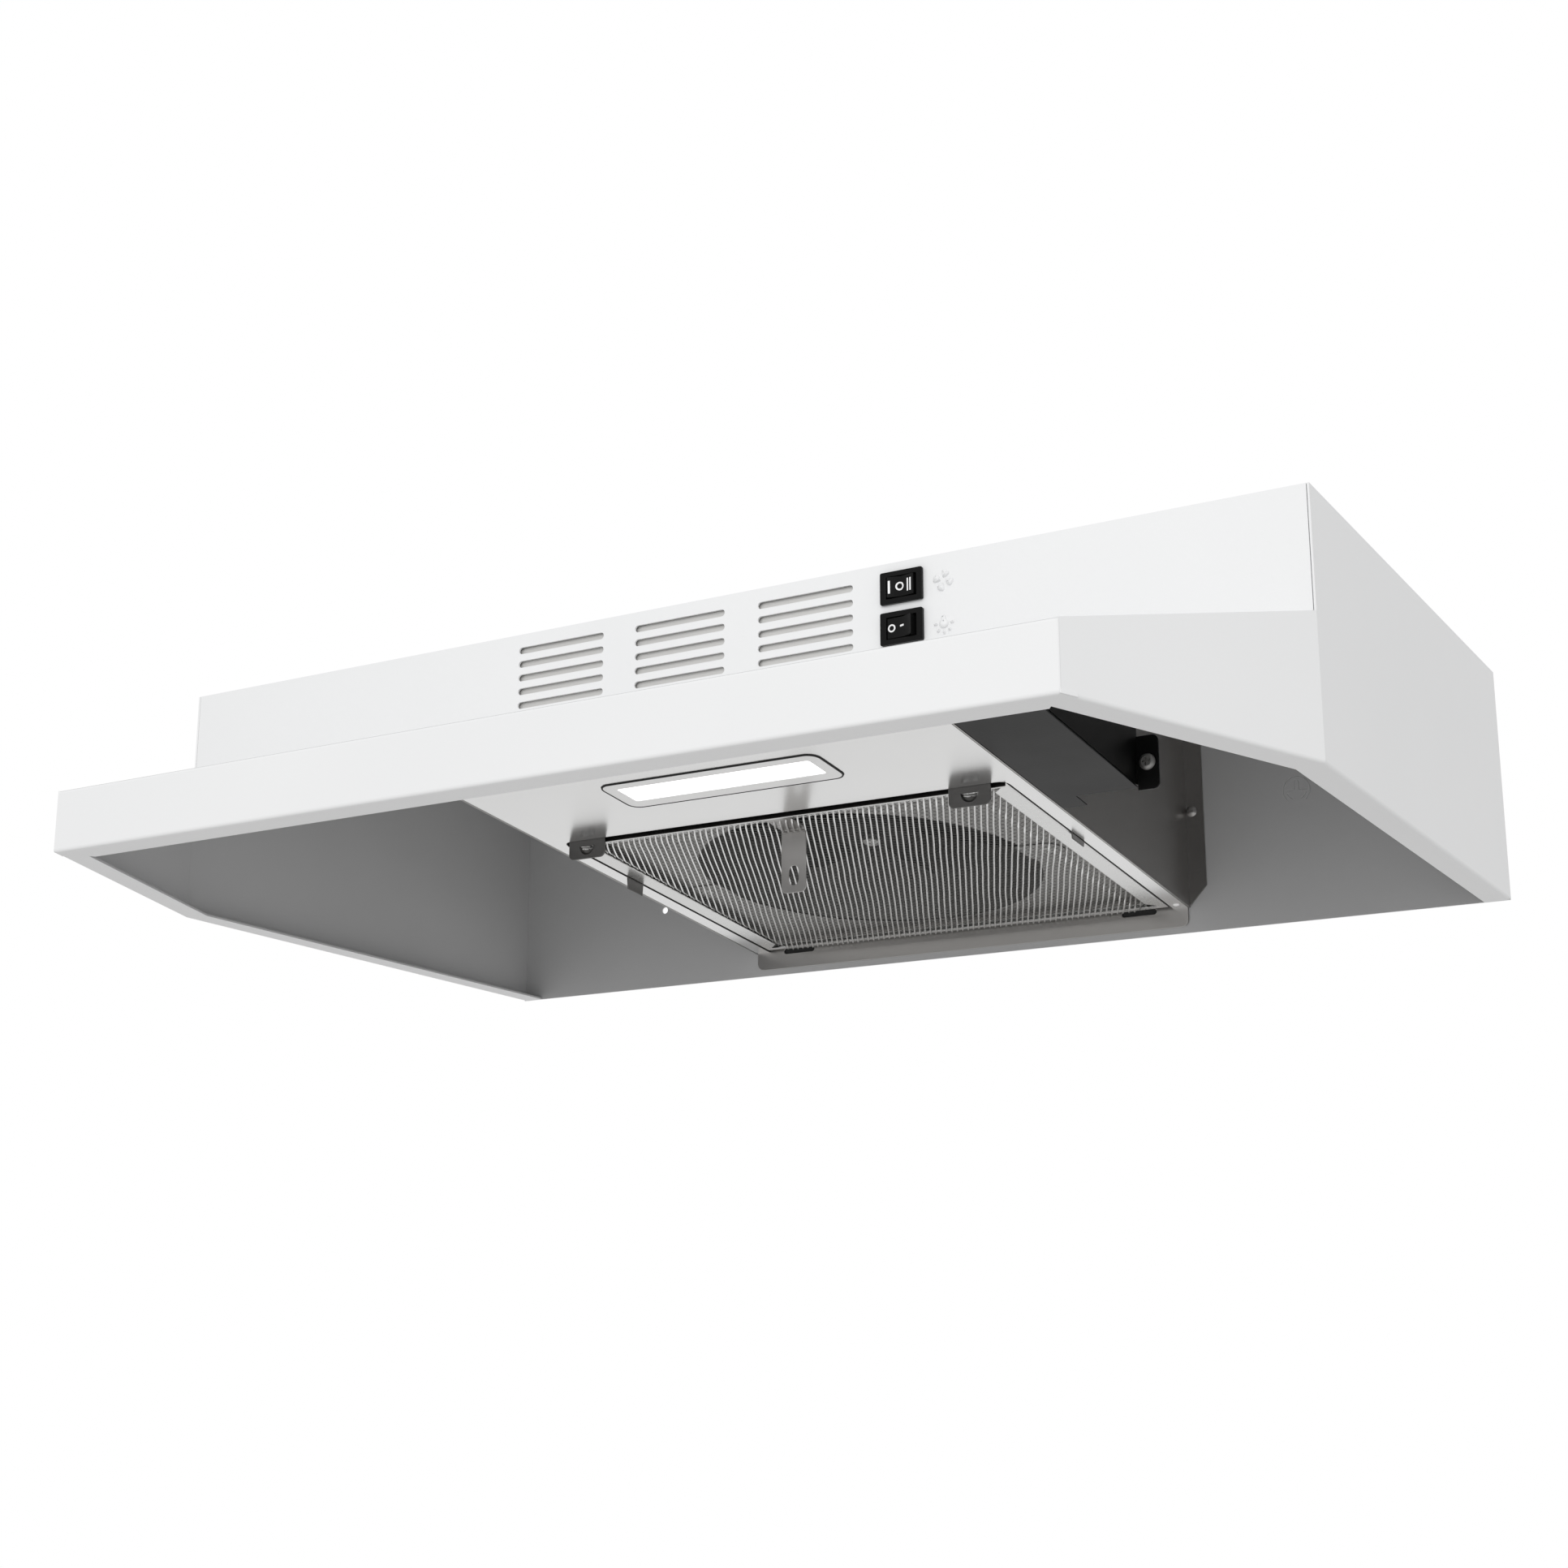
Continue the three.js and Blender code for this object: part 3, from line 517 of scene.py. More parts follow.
def swept(sections):
    """A closed sheet between sections, each a list of pairs of 3-D points."""
    count = len(sections[0])
    points = [p for section in sections for pair in section for p in pair]
    faces = []
    for s in range(len(sections) - 1):
        a, b = 2 * count * s, 2 * count * (s + 1)
        for i in range(0, 2 * count - 2, 2):
            faces.append((a + i, a + i + 2, b + i + 2, b + i))
            faces.append((a + i + 3, a + i + 1, b + i + 1, b + i + 3))
        faces.append((a + 1, a, b, b + 1))
        end = 2 * count - 2
        faces.append((a + end, a + end + 1, b + end + 1, b + end))
    last = 2 * count * (len(sections) - 1)
    for i in range(0, 2 * count - 2, 2):
        faces.append((i, i + 1, i + 3, i + 2))
        faces.append((last + i, last + i + 2, last + i + 3, last + i + 1))
    return points, faces


print("a plate 10 by 10 by 1 has", len(plate(rounded_rect(0, 10, 0, 10, 1), [], 0, 1)[1]), "faces")

# %% Turned solids, moving and joining
def spun(profile, count=48):
    """A solid turned about z. The profile starts and ends on the axis or closes on itself."""
    points = [(*polar(r, 2 * math.pi * i / count), z) for r, z in profile for i in range(count)]
    faces = []
    for ring in range(len(profile) - 1):
        faces += bridge(ring * count, (ring + 1) * count, count)
    return points, faces


def moved(shape, place):
    """The shape with each point put through a function."""
    points, faces = shape
    return [tuple(place(*point)) for point in points], faces


def joined(*shapes):
    """Several shapes as one list of points and one of faces."""
    points, faces = [], []
    for more_points, more_faces in shapes:
        faces += [tuple(i + len(points) for i in face) for face in more_faces]
        points += [tuple(point) for point in more_points]
    return points, faces


print("a disc turned in 48 steps has", len(spun([(0, 0), (5, 0), (5, 1), (0, 1)])[1]), "faces")

# %% [markdown]
# ## From shapes to pieces
# A bend is a few narrow facets, and soft shading makes them read as one curve. The same shading would
# tilt the light over the whole of a flat panel beside the bend, so a flat region that is much larger
# than all its neighbours keeps its own flat shading. The real thing has both: true flats and soft folds.

# %% Turn shapes into meshes
@contextmanager
def edited(mesh):
    """The mesh opened for editing, and written back afterwards."""
    bm = bmesh.new()
    bm.from_mesh(mesh)
    yield bm
    bm.to_mesh(mesh)
    bm.free()


def clean(mesh, merge=0.002 * MM):
    """Merges shared points, closes up and points every face outwards."""
    with edited(mesh) as bm:
        bmesh.ops.remove_doubles(bm, verts=bm.verts, dist=merge)
        bmesh.ops.dissolve_degenerate(bm, edges=bm.edges, dist=merge)
        bmesh.ops.recalc_face_normals(bm, faces=bm.faces)


COPLANAR = math.radians(0.4)
MANY_FACES = 40000
MUCH_LARGER = 4


def flat_regions(faces):
    """Groups of faces that lie in one plane and touch, and the group each face is in."""
    group_of, groups = {}, []
    for face in faces:
        if face in group_of:
            continue
        group_of[face] = len(groups)
        members, waiting = [], [face]
        while waiting:
            here = waiting.pop()
            members.append(here)
            for other in (f for edge in here.edges for f in edge.link_faces if f not in group_of):
                if here.normal.angle(other.normal, 0.0) < COPLANAR:
                    group_of[other] = len(groups)
                    waiting.append(other)
        groups.append(members)
    return group_of, groups


def smooth(mesh, angle=32):
    """Soft shading on bends and edges. A flat panel much larger than its neighbours stays flat."""
    mesh.shade_smooth()
    mesh.set_sharp_from_angle(angle=math.radians(angle))
    if len(mesh.polygons) > MANY_FACES:
        return
    with edited(mesh) as bm:
        group_of, groups = flat_regions(bm.faces)
        sizes = [sum(face.calc_area() for face in members) for members in groups]
        for index, members in enumerate(groups):
            beside = {group_of[other] for face in members for edge in face.edges if edge.smooth
                      for other in edge.link_faces} - {index}
            if all(sizes[index] > MUCH_LARGER * sizes[near] for near in beside):
                for face in members:
                    face.smooth = False


print("two faces count as one flat below", round(math.degrees(COPLANAR), 1), "degrees")

# %% Turn meshes into pieces
def settle(name, mesh, finish, body, nodes):
    """A finished mesh becomes a piece: it gets its finish, its body and what it stands for."""
    obj = placed(name, mesh)
    mesh.materials.clear()
    mesh.materials.append(finish)
    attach(obj, body)
    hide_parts(*nodes)
    return obj


def mesh_of(name, shape, angle=32):
    """A mesh in metres from a shape in the hood's own millimetres."""
    points, faces = shape
    mesh = bpy.data.meshes.new(name)
    mesh.from_pydata([(x * MM, (y + FRONT) * MM, z * MM) for x, y, z in points], [], faces)
    clean(mesh)
    smooth(mesh, angle)
    return mesh


def piece(name, shape, finish, nodes, body="hood", angle=32):
    """A shape becomes a finished piece that rides on its body and stands for these nodes."""
    mesh = mesh_of(name, shape, angle)
    print(f"{name}: {len(mesh.polygons)} faces")
    return settle(name, mesh, finish, body, nodes)


def coated(obj, finish, test):
    """Gives the faces that pass the test another finish."""
    obj.data.materials.append(finish)
    for face in obj.data.polygons:
        if test(in_hood(face.center), face.normal):
            face.material_index = len(obj.data.materials) - 1


def over_deck(place):
    """How far a point is above the deck's underside, measured square to it."""
    return (place - on_deck(place.x, place.y)).z * UP.z


def applied(obj):
    """The mesh of an object with its modifiers carried out. The object itself is removed."""
    graph = bpy.context.evaluated_depsgraph_get()
    mesh = bpy.data.meshes.new_from_object(obj.evaluated_get(graph))
    bpy.data.objects.remove(obj)
    return mesh


COPLANAR_CAD = math.radians(0.5)


def softened(node, finish, width=0.25, steps=2, body="hood", limit=35):
    """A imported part's own shape with its edges rounded, for pieces whose outline is already right."""
    mesh = frame["nodes"][node].data.copy()
    clean(mesh, 1e-6)
    with edited(mesh) as bm:
        bmesh.ops.dissolve_limit(bm, angle_limit=COPLANAR_CAD, verts=bm.verts, edges=bm.edges)
    rough = placed(node + "_rough", mesh)
    bevel = rough.modifiers.new("edges", "BEVEL")
    bevel.width = width * MM
    bevel.segments = steps
    bevel.limit_method = "ANGLE"
    bevel.angle_limit = math.radians(limit)
    mesh = applied(rough)
    smooth(mesh)
    print(f"{node}: {len(mesh.polygons)} faces")
    return settle(node + "_made", mesh, finish, body, [node])


# %% [markdown]
# ## The painted canopy
# The real canopy is folded from painted sheet: each wall turns under at the bottom into a flange.
# All these walls run round the same plan, so one section is swept between plan corners and is cut
# at each corner along the line that halves it. The bend's radius then meets its neighbour exactly.

# %% Walls with a turned-in bottom flange
PLAN = [Vector(p) for p in ((-HALF, DEPTH - SHEET), (-HALF, 0), (-(HALF - MITRE), -VISOR),
                            (HALF - MITRE, -VISOR), (HALF, 0), (HALF, DEPTH - SHEET))]
FLANGE = {"front": 15.5, "mitre": 13.0, "side": 13.0}
BEND = 1.6
FACES_IN = 0.8


def plan_cut(corner):
    """Inward direction at a plan corner, stretched so that 1 mm inwards is 1 mm off the wall."""
    if corner in (0, len(PLAN) - 1):
        return Vector((1 if corner == 0 else -1, 0))
    along = (PLAN[corner] - PLAN[corner - 1]).normalized()
    beyond = (PLAN[corner + 1] - PLAN[corner]).normalized()
    n1 = Vector((-along.y, along.x))
    n2 = Vector((-beyond.y, beyond.x))
    middle = (n1 + n2).normalized()
    return middle / middle.dot(n1)


def wall_section(corner, top, flange, lip=None):
    """The fold at one plan corner. lip turns the top edge back over the visor."""
    line = [(flange, -HEIGHT + SHEET / 2), (SHEET / 2, -HEIGHT + SHEET / 2), (SHEET / 2, top)]
    if lip:
        line[2] = (SHEET / 2, top - SHEET / 2)
        line.append((lip, top - SHEET / 2 + VISOR_SLOPE * (lip - SHEET / 2)))
    inwards = plan_cut(corner)
    return [[Vector((*(PLAN[corner] + inwards * u), z)) for u, z in pair]
            for pair in folded(line, BEND - SHEET / 2, SHEET)]


def wall(name, node, first, tops, flange, lip=None):
    """One wall of the canopy, painted white outside, with painted shade on its inner and upward faces."""
    sections = [wall_section(first + i, top, flange, lip) for i, top in enumerate(tops)]
    made = piece(name, swept(sections), WHITE, [node])
    along = PLAN[first + 1] - PLAN[first]
    inwards = left_of(along).to_3d()
    coated(made, INNER_SHADE, lambda place, normal: normal.dot(inwards) > FACES_IN or normal.z > FACES_IN)


LIP = 4.0
wall("visor_front_sheet", "visor_front_panel", 2, (BROW_Z, BROW_Z), FLANGE["front"], lip=LIP)
wall("mitre_sheet_left", "mitre_panel_left", 1, (SHOULDER_Z, BROW_Z), FLANGE["mitre"])
wall("mitre_sheet_right", "mitre_panel_right", 3, (BROW_Z, SHOULDER_Z), FLANGE["mitre"])
wall("side_sheet_left", "side_panel_left", 0, (0, 0), FLANGE["side"])
wall("side_sheet_right", "side_panel_right", 4, (0, 0), FLANGE["side"])

# %% The sloping top of the visor
lip_end = -VISOR + LIP
top_edge = [(side * (mitre_x(y) - SHEET), y) for side, y in
            ((-1, lip_end), (1, lip_end), (1, -0.1), (-1, -0.1))]
slope = plate(top_edge, [], -SHEET, 0, 0.05, 1)
visor_top = piece("visor_top_sheet", moved(slope, lambda x, y, z: (x, y, z + visor_z(y))), WHITE,
                  ["visor_top_panel"])
# Painted shade on the sloping top's underside.
coated(visor_top, INNER_SHADE, lambda place, normal: normal.z < -FACES_IN)

# %% The visor's corners
def corner_trim(side):
    """The front sheet wraps round its corner as a small roll, with a hem that runs back below."""
    r, edge = 0.7, 0.2
    low, high = 1.6 - HEIGHT, BROW_Z - 0.4
    roll = spun([(0, low), (r - edge, low), (r, 1.9 - HEIGHT), (r, BROW_Z - 0.7), (r - edge, high),
                 (0, high)], 20)
    start = Vector((HALF - MITRE, -VISOR))
    along = (Vector((HALF, 0)) - start).normalized()
    outwards = Vector((along.y, -along.x))
    start_u, end_u, hem_low, hem_high = 0.3, 9.5, 0.4 - HEIGHT, 1.9 - HEIGHT
    hem = plate([(start_u, hem_low), (end_u, hem_low), (end_u, hem_high), (start_u, hem_high)], [],
                -0.3, 0.32, 0.25, 2)

    def beside(u, z, w):
        place = start + along * u + outwards * w
        return side * place.x, place.y, z

    return joined(moved(roll, lambda x, y, z: (side * (start.x - 0.32 + x), start.y + r + y, z)),
                  moved(hem, beside))


piece("visor_corner_rolls", joined(corner_trim(-1), corner_trim(1)), WHITE, [])

# %% [markdown]
# ## Geometry Nodes for what repeats
# The slots, the filter's strands, the fan's blades, the screws and the rivets all repeat. A recipe
# is a node tree with named inputs. It is given its values before the object is first worked out,
# its instances are realised, and the result is kept as a plain mesh.

# %% Recipes
class Recipe(Tree):
    """A Geometry Nodes tree with named inputs."""

    def __init__(self, name, **inputs):
        tree = bpy.data.node_groups.new(name, "GeometryNodeTree")
        super().__init__(tree)
        tree.interface.new_socket("Geometry", in_out="OUTPUT", socket_type="NodeSocketGeometry")
        kinds = {float: "NodeSocketFloat", int: "NodeSocketInt", str: "NodeSocket"}
        for label, value in inputs.items():
            kind = value if isinstance(value, str) else kinds[type(value)]
            tree.interface.new_socket(label, in_out="INPUT", socket_type=kind)
        self.entry = tree.nodes.new("NodeGroupInput")
        self.sockets = {s.name: s.identifier for s in tree.interface.items_tree if s.in_out == "INPUT"}

    def __getattr__(self, label):
        return Wire(self, self.entry.outputs[label])

    def incoming(self):
        """A Geometry input before the others, for a recipe that works on the object's own mesh."""
        face = self.tree.interface
        face.move(face.new_socket("Geometry", in_out="INPUT", socket_type="NodeSocketGeometry"), 0)
        return Wire(self, self.entry.outputs["Geometry"])

    def join(self, *wires):
        made = self.tree.nodes.new("GeometryNodeJoinGeometry")
        for wire in wires:
            self.tree.links.new(wire.socket, made.inputs[0])
        return Wire(self, made.outputs[0])

    def vector(self, x=0.0, y=0.0, z=0.0):
        return self.node("ShaderNodeCombineXYZ", {}, {"X": x, "Y": y, "Z": z})

    def moved(self, geometry, by):
        return self.node("GeometryNodeTransform", {}, {"Geometry": geometry, "Translation": by})

    def finish(self, geometry, material):
        whole = self.node("GeometryNodeRealizeInstances", {}, {"Geometry": geometry})
        painted = self.node("GeometryNodeSetMaterial", {}, {"Geometry": whole, "Material": material})
        end = self.tree.nodes.new("NodeGroupOutput")
        self.tree.links.new(painted.socket, end.inputs[0])
        print(f"{self.tree.name}: {len(self.tree.nodes)} nodes, {len(self.sockets)} inputs")

    def grow(self, name, start=None, **values):
        """The mesh that the recipe makes with these values."""
        obj = placed(name + "_recipe", start or bpy.data.meshes.new(name))
        modifier = obj.modifiers.new("recipe", "NODES")
        modifier.node_group = self.tree
        for label, value in values.items():
            modifier[self.sockets[label]] = value
        made = applied(obj)
        print(f"{name}: {len(made.polygons)} faces from {self.tree.name}")
        return made


# %% [markdown]
# ## The slotted front panel
# On the real panel a gang tool punches three columns of six slots and the switch openings in one
# stroke. The recipe does the same: slot outlines stand on a grid, and filling the outer outline
# leaves them open. The two raised signs beside the switches, a fan and a lamp, are pressed
# from behind, so they are low rounded mounds in the same paint.

# %% The punched panel recipe
punched = Recipe("punched_panel", Width=0.0, Height=0.0, Thickness=0.0, SlotLength=0.0, SlotHeight=0.0,
                 Columns=1, Rows=1, ColumnPitch=0.0, RowPitch=0.0, SlotX=0.0, SlotY=0.0,
                 KeyWidth=0.0, KeyHeight=0.0, KeyPitch=0.0, KeyX=0.0, KeyY=0.0,
                 Paint="NodeSocketMaterial")
g = punched
rectangle = "GeometryNodeCurvePrimitiveQuadrilateral"
outer_line = g.node(rectangle, {}, {"Width": g.Width, "Height": g.Height})
slot_line = g.node("GeometryNodeFilletCurve", {"mode": "POLY"},
                   {"Curve": g.node(rectangle, {}, {"Width": g.SlotLength, "Height": g.SlotHeight}),
                    "Count": 6, "Radius": g.SlotHeight * 0.499})
slot_places = g.node("GeometryNodeMeshGrid", {},
                     {"Size X": g.ColumnPitch * (g.Columns - 1), "Size Y": g.RowPitch * (g.Rows - 1),
                      "Vertices X": g.Columns, "Vertices Y": g.Rows})
slots = g.node("GeometryNodeInstanceOnPoints", {},
               {"Points": g.moved(slot_places, g.vector(g.SlotX, g.SlotY)), "Instance": slot_line})
key_line = g.node(rectangle, {}, {"Width": g.KeyWidth, "Height": g.KeyHeight})
key_places = g.node("GeometryNodeMeshLine", {}, {"Count": 2, "Start Location": g.vector(g.KeyX, g.KeyY),
                                                 "Offset": g.vector(0.0, 0.0 - g.KeyPitch)})
keys = g.node("GeometryNodeInstanceOnPoints", {}, {"Points": key_places, "Instance": key_line})
lines = g.node("GeometryNodeRealizeInstances", {}, {"Geometry": g.join(outer_line, slots, keys)})
face = g.node("GeometryNodeFillCurve", {"mode": "TRIANGLES"}, {"Curve": lines})
walls = g.node("GeometryNodeExtrudeMesh", {"mode": "FACES"},
               {"Mesh": face, "Offset Scale": g.Thickness, "Individual": False})
both = g.join(walls, g.node("GeometryNodeFlipFaces", {}, {"Mesh": face}))
sheet = g.node("GeometryNodeMergeByDistance", {}, {"Geometry": both, "Distance": 0.001})
g.finish(sheet, g.Paint)

# %% Grow the front panel
SWITCH_X = joints["fan_rocker_tilt"]["pos_m"][0] / MM
FAN_KEY_Z = joints["fan_rocker_tilt"]["pos_m"][2] / MM
LIGHT_KEY_Z = joints["light_rocker_tilt"]["pos_m"][2] / MM
panel_low, panel_high = reach("upper_front_panel")
panel_wide, panel_tall = panel_high.x - panel_low.x, panel_high.z - panel_low.z
panel_mid = (panel_high.z + panel_low.z) / 2
SLOT = {"long": 49.7, "high": 3.4, "across": 67.6, "down": 6.95, "middle": -1.2, "top": -8.4,
        "columns": 3, "rows": 6}
SWITCH_HOLE = {"wide": 19.2, "tall": 13.3}
slot_mid = SLOT["top"] - (SLOT["rows"] - 1) / 2 * SLOT["down"]
front_mesh = punched.grow("front_sheet_slotted", Width=panel_wide, Height=panel_tall, Thickness=SHEET,
                          SlotLength=SLOT["long"], SlotHeight=SLOT["high"],
                          Columns=SLOT["columns"], Rows=SLOT["rows"],
                          ColumnPitch=SLOT["across"], RowPitch=SLOT["down"], SlotX=SLOT["middle"],
                          SlotY=slot_mid - panel_mid, KeyWidth=SWITCH_HOLE["wide"],
                          KeyHeight=SWITCH_HOLE["tall"],
                          KeyPitch=FAN_KEY_Z - LIGHT_KEY_Z, KeyX=SWITCH_X,
                          KeyY=FAN_KEY_Z - panel_mid, Paint=WHITE)


def shape_of(mesh):
    """A mesh's points and faces, to join with others."""
    return [tuple(v.co) for v in mesh.vertices], [tuple(p.vertices) for p in mesh.polygons]


# %% The pressed signs
SIGN_HEIGHT, RAY_HEIGHT = 1.5, 1.3
SIGN_X = SWITCH_X + 20.2
FAN_SIGN_Z = FAN_KEY_Z - 0.4
LAMP_SIGN_Z = LIGHT_KEY_Z - 1.0


def sign(outline, x, z, height=SIGN_HEIGHT):
    """A low mound pressed out of the front panel."""
    mound = plate(outline, [], -height, height, height * 0.9, 3)
    return moved(mound, lambda u, v, w: (x + u, -w, z + v))


def turned_point(u, v, angle):
    """A flat point turned about the origin."""
    return u * math.cos(angle) - v * math.sin(angle), u * math.sin(angle) + v * math.cos(angle)


def blade_sign(angle):
    """One blade of the pressed fan sign: an oval that swells outwards and trails."""
    points = []
    for i in range(20):
        t = 2 * math.pi * i / 20
        out = 3.05 + 1.85 * math.cos(t)
        aside = 1.6 * math.sin(t) * (1 + 0.55 * math.cos(t)) + 0.12 * (out - 3.0) ** 2
        points.append(turned_point(out, aside, angle))
    return points


def ray_sign(angle, down):
    """One ray of the lamp sign: a small oval at a distance from the bulb's middle."""
    distance, half_long, half_wide, count = 4.0, 0.95, 0.65, 14
    around = [2 * math.pi * i / count for i in range(count)]
    ovals = [turned_point(distance + half_long * math.cos(t), half_wide * math.sin(t), angle)
             for t in around]
    return [(x, z - down) for x, z in ovals]


BULB = {"radius": 2.15, "down": 0.5, "neck": 0.95, "top": 3.3}
bulb = [polar(BULB["radius"], math.radians(a), 0.0, -BULB["down"]) for a in range(118, 423, 16)]
bulb += [(BULB["neck"], BULB["top"]), (-BULB["neck"], BULB["top"])]
fan_signs = [sign(blade_sign(math.radians(70 + 90 * i)), SIGN_X, FAN_SIGN_Z) for i in range(4)]
lamp_signs = [sign(bulb, SIGN_X, LAMP_SIGN_Z)]
lamp_signs += [sign(ray_sign(math.radians(angle), BULB["down"]), SIGN_X, LAMP_SIGN_Z, RAY_HEIGHT)
               for angle in (178, 229, 272, 313, 2)]
front_shape = moved(shape_of(front_mesh), lambda u, v, w: (u, SHEET - w, v + panel_mid))
piece("front_sheet_slotted", joined(front_shape, *fan_signs, *lamp_signs), WHITE,
      ["upper_front_panel"])

# %% [markdown]
# ## Back and top of the shell
# The back carries a cable knock-out, a disc held by small bridges until it is pushed out. Its cuts
# are narrow and only show as dark lines, so the sheet is made of two layers: a slit front layer
# over a whole one. The top and its duct plate already have the right outline and only need soft edges.

# %% The back sheet with its knock-out
KNOCKOUT = Vector((196.6, -48.5))
CABLE_HOLE = (-200.0, -72.5, 2.0)
CUT = 0.34


def arc_slit(r, start, end, steps=18):
    """A narrow curved slit round the knock-out."""
    turns = [math.radians(start + (end - start) * i / steps) for i in range(steps + 1)]
    outside = [(r + CUT / 2) * Vector((math.cos(t), math.sin(t))) for t in turns]
    inside = [(r - CUT / 2) * Vector((math.cos(t), math.sin(t))) for t in reversed(turns)]
    return [tuple(KNOCKOUT + p) for p in outside + inside]


def bar_slit(x0, x1, z0, z1):
    """A narrow straight slit, measured from the knock-out's middle."""
    return [(KNOCKOUT.x + x, KNOCKOUT.y + z) for x, z in ((x0, z0), (x1, z0), (x1, z1), (x0, z1))]


def upright(shape, y):
    """A plate drawn in x and z, set at a depth, its lower face to the front."""
    return moved(shape, lambda u, v, w: (u, y + w, v))


slits = [arc_slit(7.3, -50, 230, steps=40), arc_slit(5.4, 195, 245), arc_slit(5.4, -65, -15),
         bar_slit(-5.3, -1.2, -0.2, 0.14), bar_slit(1.2, 5.3, -0.2, 0.14),
         bar_slit(-1.4, -1.06, 0.3, 5.0), bar_slit(1.06, 1.4, 0.3, 5.0), bar_slit(-0.9, 0.9, 5.1, 5.44)]
back_edge = [(-HALF, -HEIGHT), (HALF, -HEIGHT), (HALF, 0), (-HALF, 0)]
cable_hole = circle(*CABLE_HOLE[:2], CABLE_HOLE[2], 24)
middle = DEPTH - SHEET / 2
back_front = upright(plate(back_edge, [cable_hole] + slits, 0, SHEET / 2, 0.04, 1), DEPTH - SHEET)
back_rear = upright(plate(inset(back_edge, 0.01), [circle(*CABLE_HOLE[:2], 2.02, 24)],
                          0, SHEET / 2, 0.1, 1), middle)
back = piece("back_sheet", joined(back_front, back_rear), WHITE, ["back_panel"])
# Painted shade on the back's inner face.
coated(back, INNER_SHADE, lambda place, normal: normal.y < -FACES_IN)
# Painted shade on the undersides of the top and the duct plate.
for node in ("top_panel", "duct_knockout_plate"):
    coated(softened(node, WHITE, 0.15), INNER_SHADE, lambda place, normal: normal.z < -FACES_IN)
# The deflector behind the slots is lightened as painted light.
softened("air_deflector", LIT_GALVANISED, 0.3)

# %% [markdown]
# ## The steel deck
# One satin steel sheet closes the fan chamber from below. It is stamped with a shallow seat
# for the filter, pierced for the lamp and the fan's inlet, and folded down along the wall. It is drawn
# flat, and then each point is laid on the sloping plane, so every feature stays square to the sheet.

# %% Deck, filter seat and rear flange
deck_low, deck_high = reach("plenum_panel")
SEAT = {"half": 125.4, "front": 85.0, "up": 4.5}
REAR = deck_high.y - THIN
DECK_HALF = deck_high.x
INLET_R = 91.0
EAR = 101.0
EAR_HOLE = 2.1
lamp_low, lamp_high = reach("lamp_bezel")


def laid(shape):
    """A plate drawn in x and y, laid on the deck's plane."""
    return moved(shape, on_deck)


seat_line = hanging(-SEAT["half"], SEAT["half"], SEAT["front"], REAR, 5)[::-1]
deck_edge = [(-DECK_HALF, deck_low.y), (DECK_HALF, deck_low.y), (DECK_HALF, REAR)] + seat_line \
    + [(-DECK_HALF, REAR)]
LAMP = {"half": 59.7, "front": 20.0, "back": 52.0}
gap = 0.5
lamp_hole = rounded_rect(-LAMP["half"] - gap, LAMP["half"] + gap, LAMP["front"] - gap, LAMP["back"] + gap,
                         6.4, 8)
deck = laid(plate(deck_edge, [lamp_hole], 0, THIN, 0.3, 2))

seat_top = SEAT["up"] + THIN
inlet = circle(FAN.x, FAN.y, INLET_R, 96)
ear_holes = [circle(FAN.x + side * EAR, FAN.y, EAR_HOLE, 16) for side in (-1, 1)]
ceiling_edge = rounded_rect(-SEAT["half"] - THIN, SEAT["half"] + THIN, SEAT["front"] - THIN, REAR, 1)
ceiling = laid(plate(ceiling_edge, [inlet] + ear_holes, SEAT["up"], seat_top, 0.2, 1))


def seat_wall():
    """The seat's drawn wall, from just inside the deck to just inside the ceiling."""
    heights = (0.3, SEAT["up"] + 0.3)
    sections = []
    for i, point in enumerate(seat_line):
        before = Vector(seat_line[max(i - 1, 0)])
        after = Vector(seat_line[min(i + 1, len(seat_line) - 1)])
        along = (after - before).normalized()
        out = Vector((along.y, -along.x))
        sections.append([[on_deck(point[0] + out.x * u, point[1] + out.y * u, w) for u in (0.0, -THIN)]
                         for w in heights])
    return swept(sections)


def ear_boss(side):
    """A raised pad round each motor screw, running out from the inlet."""
    reach_in, reach_out, half = INLET_R - 3, EAR + 10, 10.0
    outline = [(reach_in, -half), (reach_out - half, -half)]
    outline += [polar(half, math.radians(-75 + 15 * i), reach_out - half) for i in range(11)]
    outline += [(reach_out - half, half), (reach_in, half)]
    outline = [(FAN.x + side * u, FAN.y + v) for u, v in outline]
    hole = circle(FAN.x + side * EAR, FAN.y, EAR_HOLE, 16)
    return laid(plate(outline, [hole], SEAT["up"] - 0.7, SEAT["up"] + 0.1, 0.5, 3))


flange_top = deck_z(REAR) + SEAT["up"]
HOOK_X, HOOK_LOW, HOOK_HIGH = (-105.8, 105.8), -107.4, -104.5
hooks = [rounded_rect(x - 10, x + 10, HOOK_LOW, HOOK_HIGH, 1.4, 4) for x in HOOK_X]
flange_line = hanging(-DECK_HALF, DECK_HALF, deck_low.z, flange_top, 4)
flange = upright(plate(flange_line, hooks, 0, THIN, 0.25, 2), REAR)
side_lips = [laid(moved(plate([(deck_low.y, 0.4), (REAR, 0.4), (REAR, 6), (deck_low.y, 6)], [],
                              0, THIN, 0.2, 1),
                        lambda y, w, t, s=side: (s * (DECK_HALF - t), y, w))) for side in (-1, 1)]
DIMPLE = (129.4, 291.5)
dimple = laid(moved(spun([(0, -0.9), (1.2, -0.8), (2.0, -0.3), (2.3, 0.3), (0, 0.35)], 20),
                    lambda x, y, z: (x + DIMPLE[0], y + DIMPLE[1], z)))
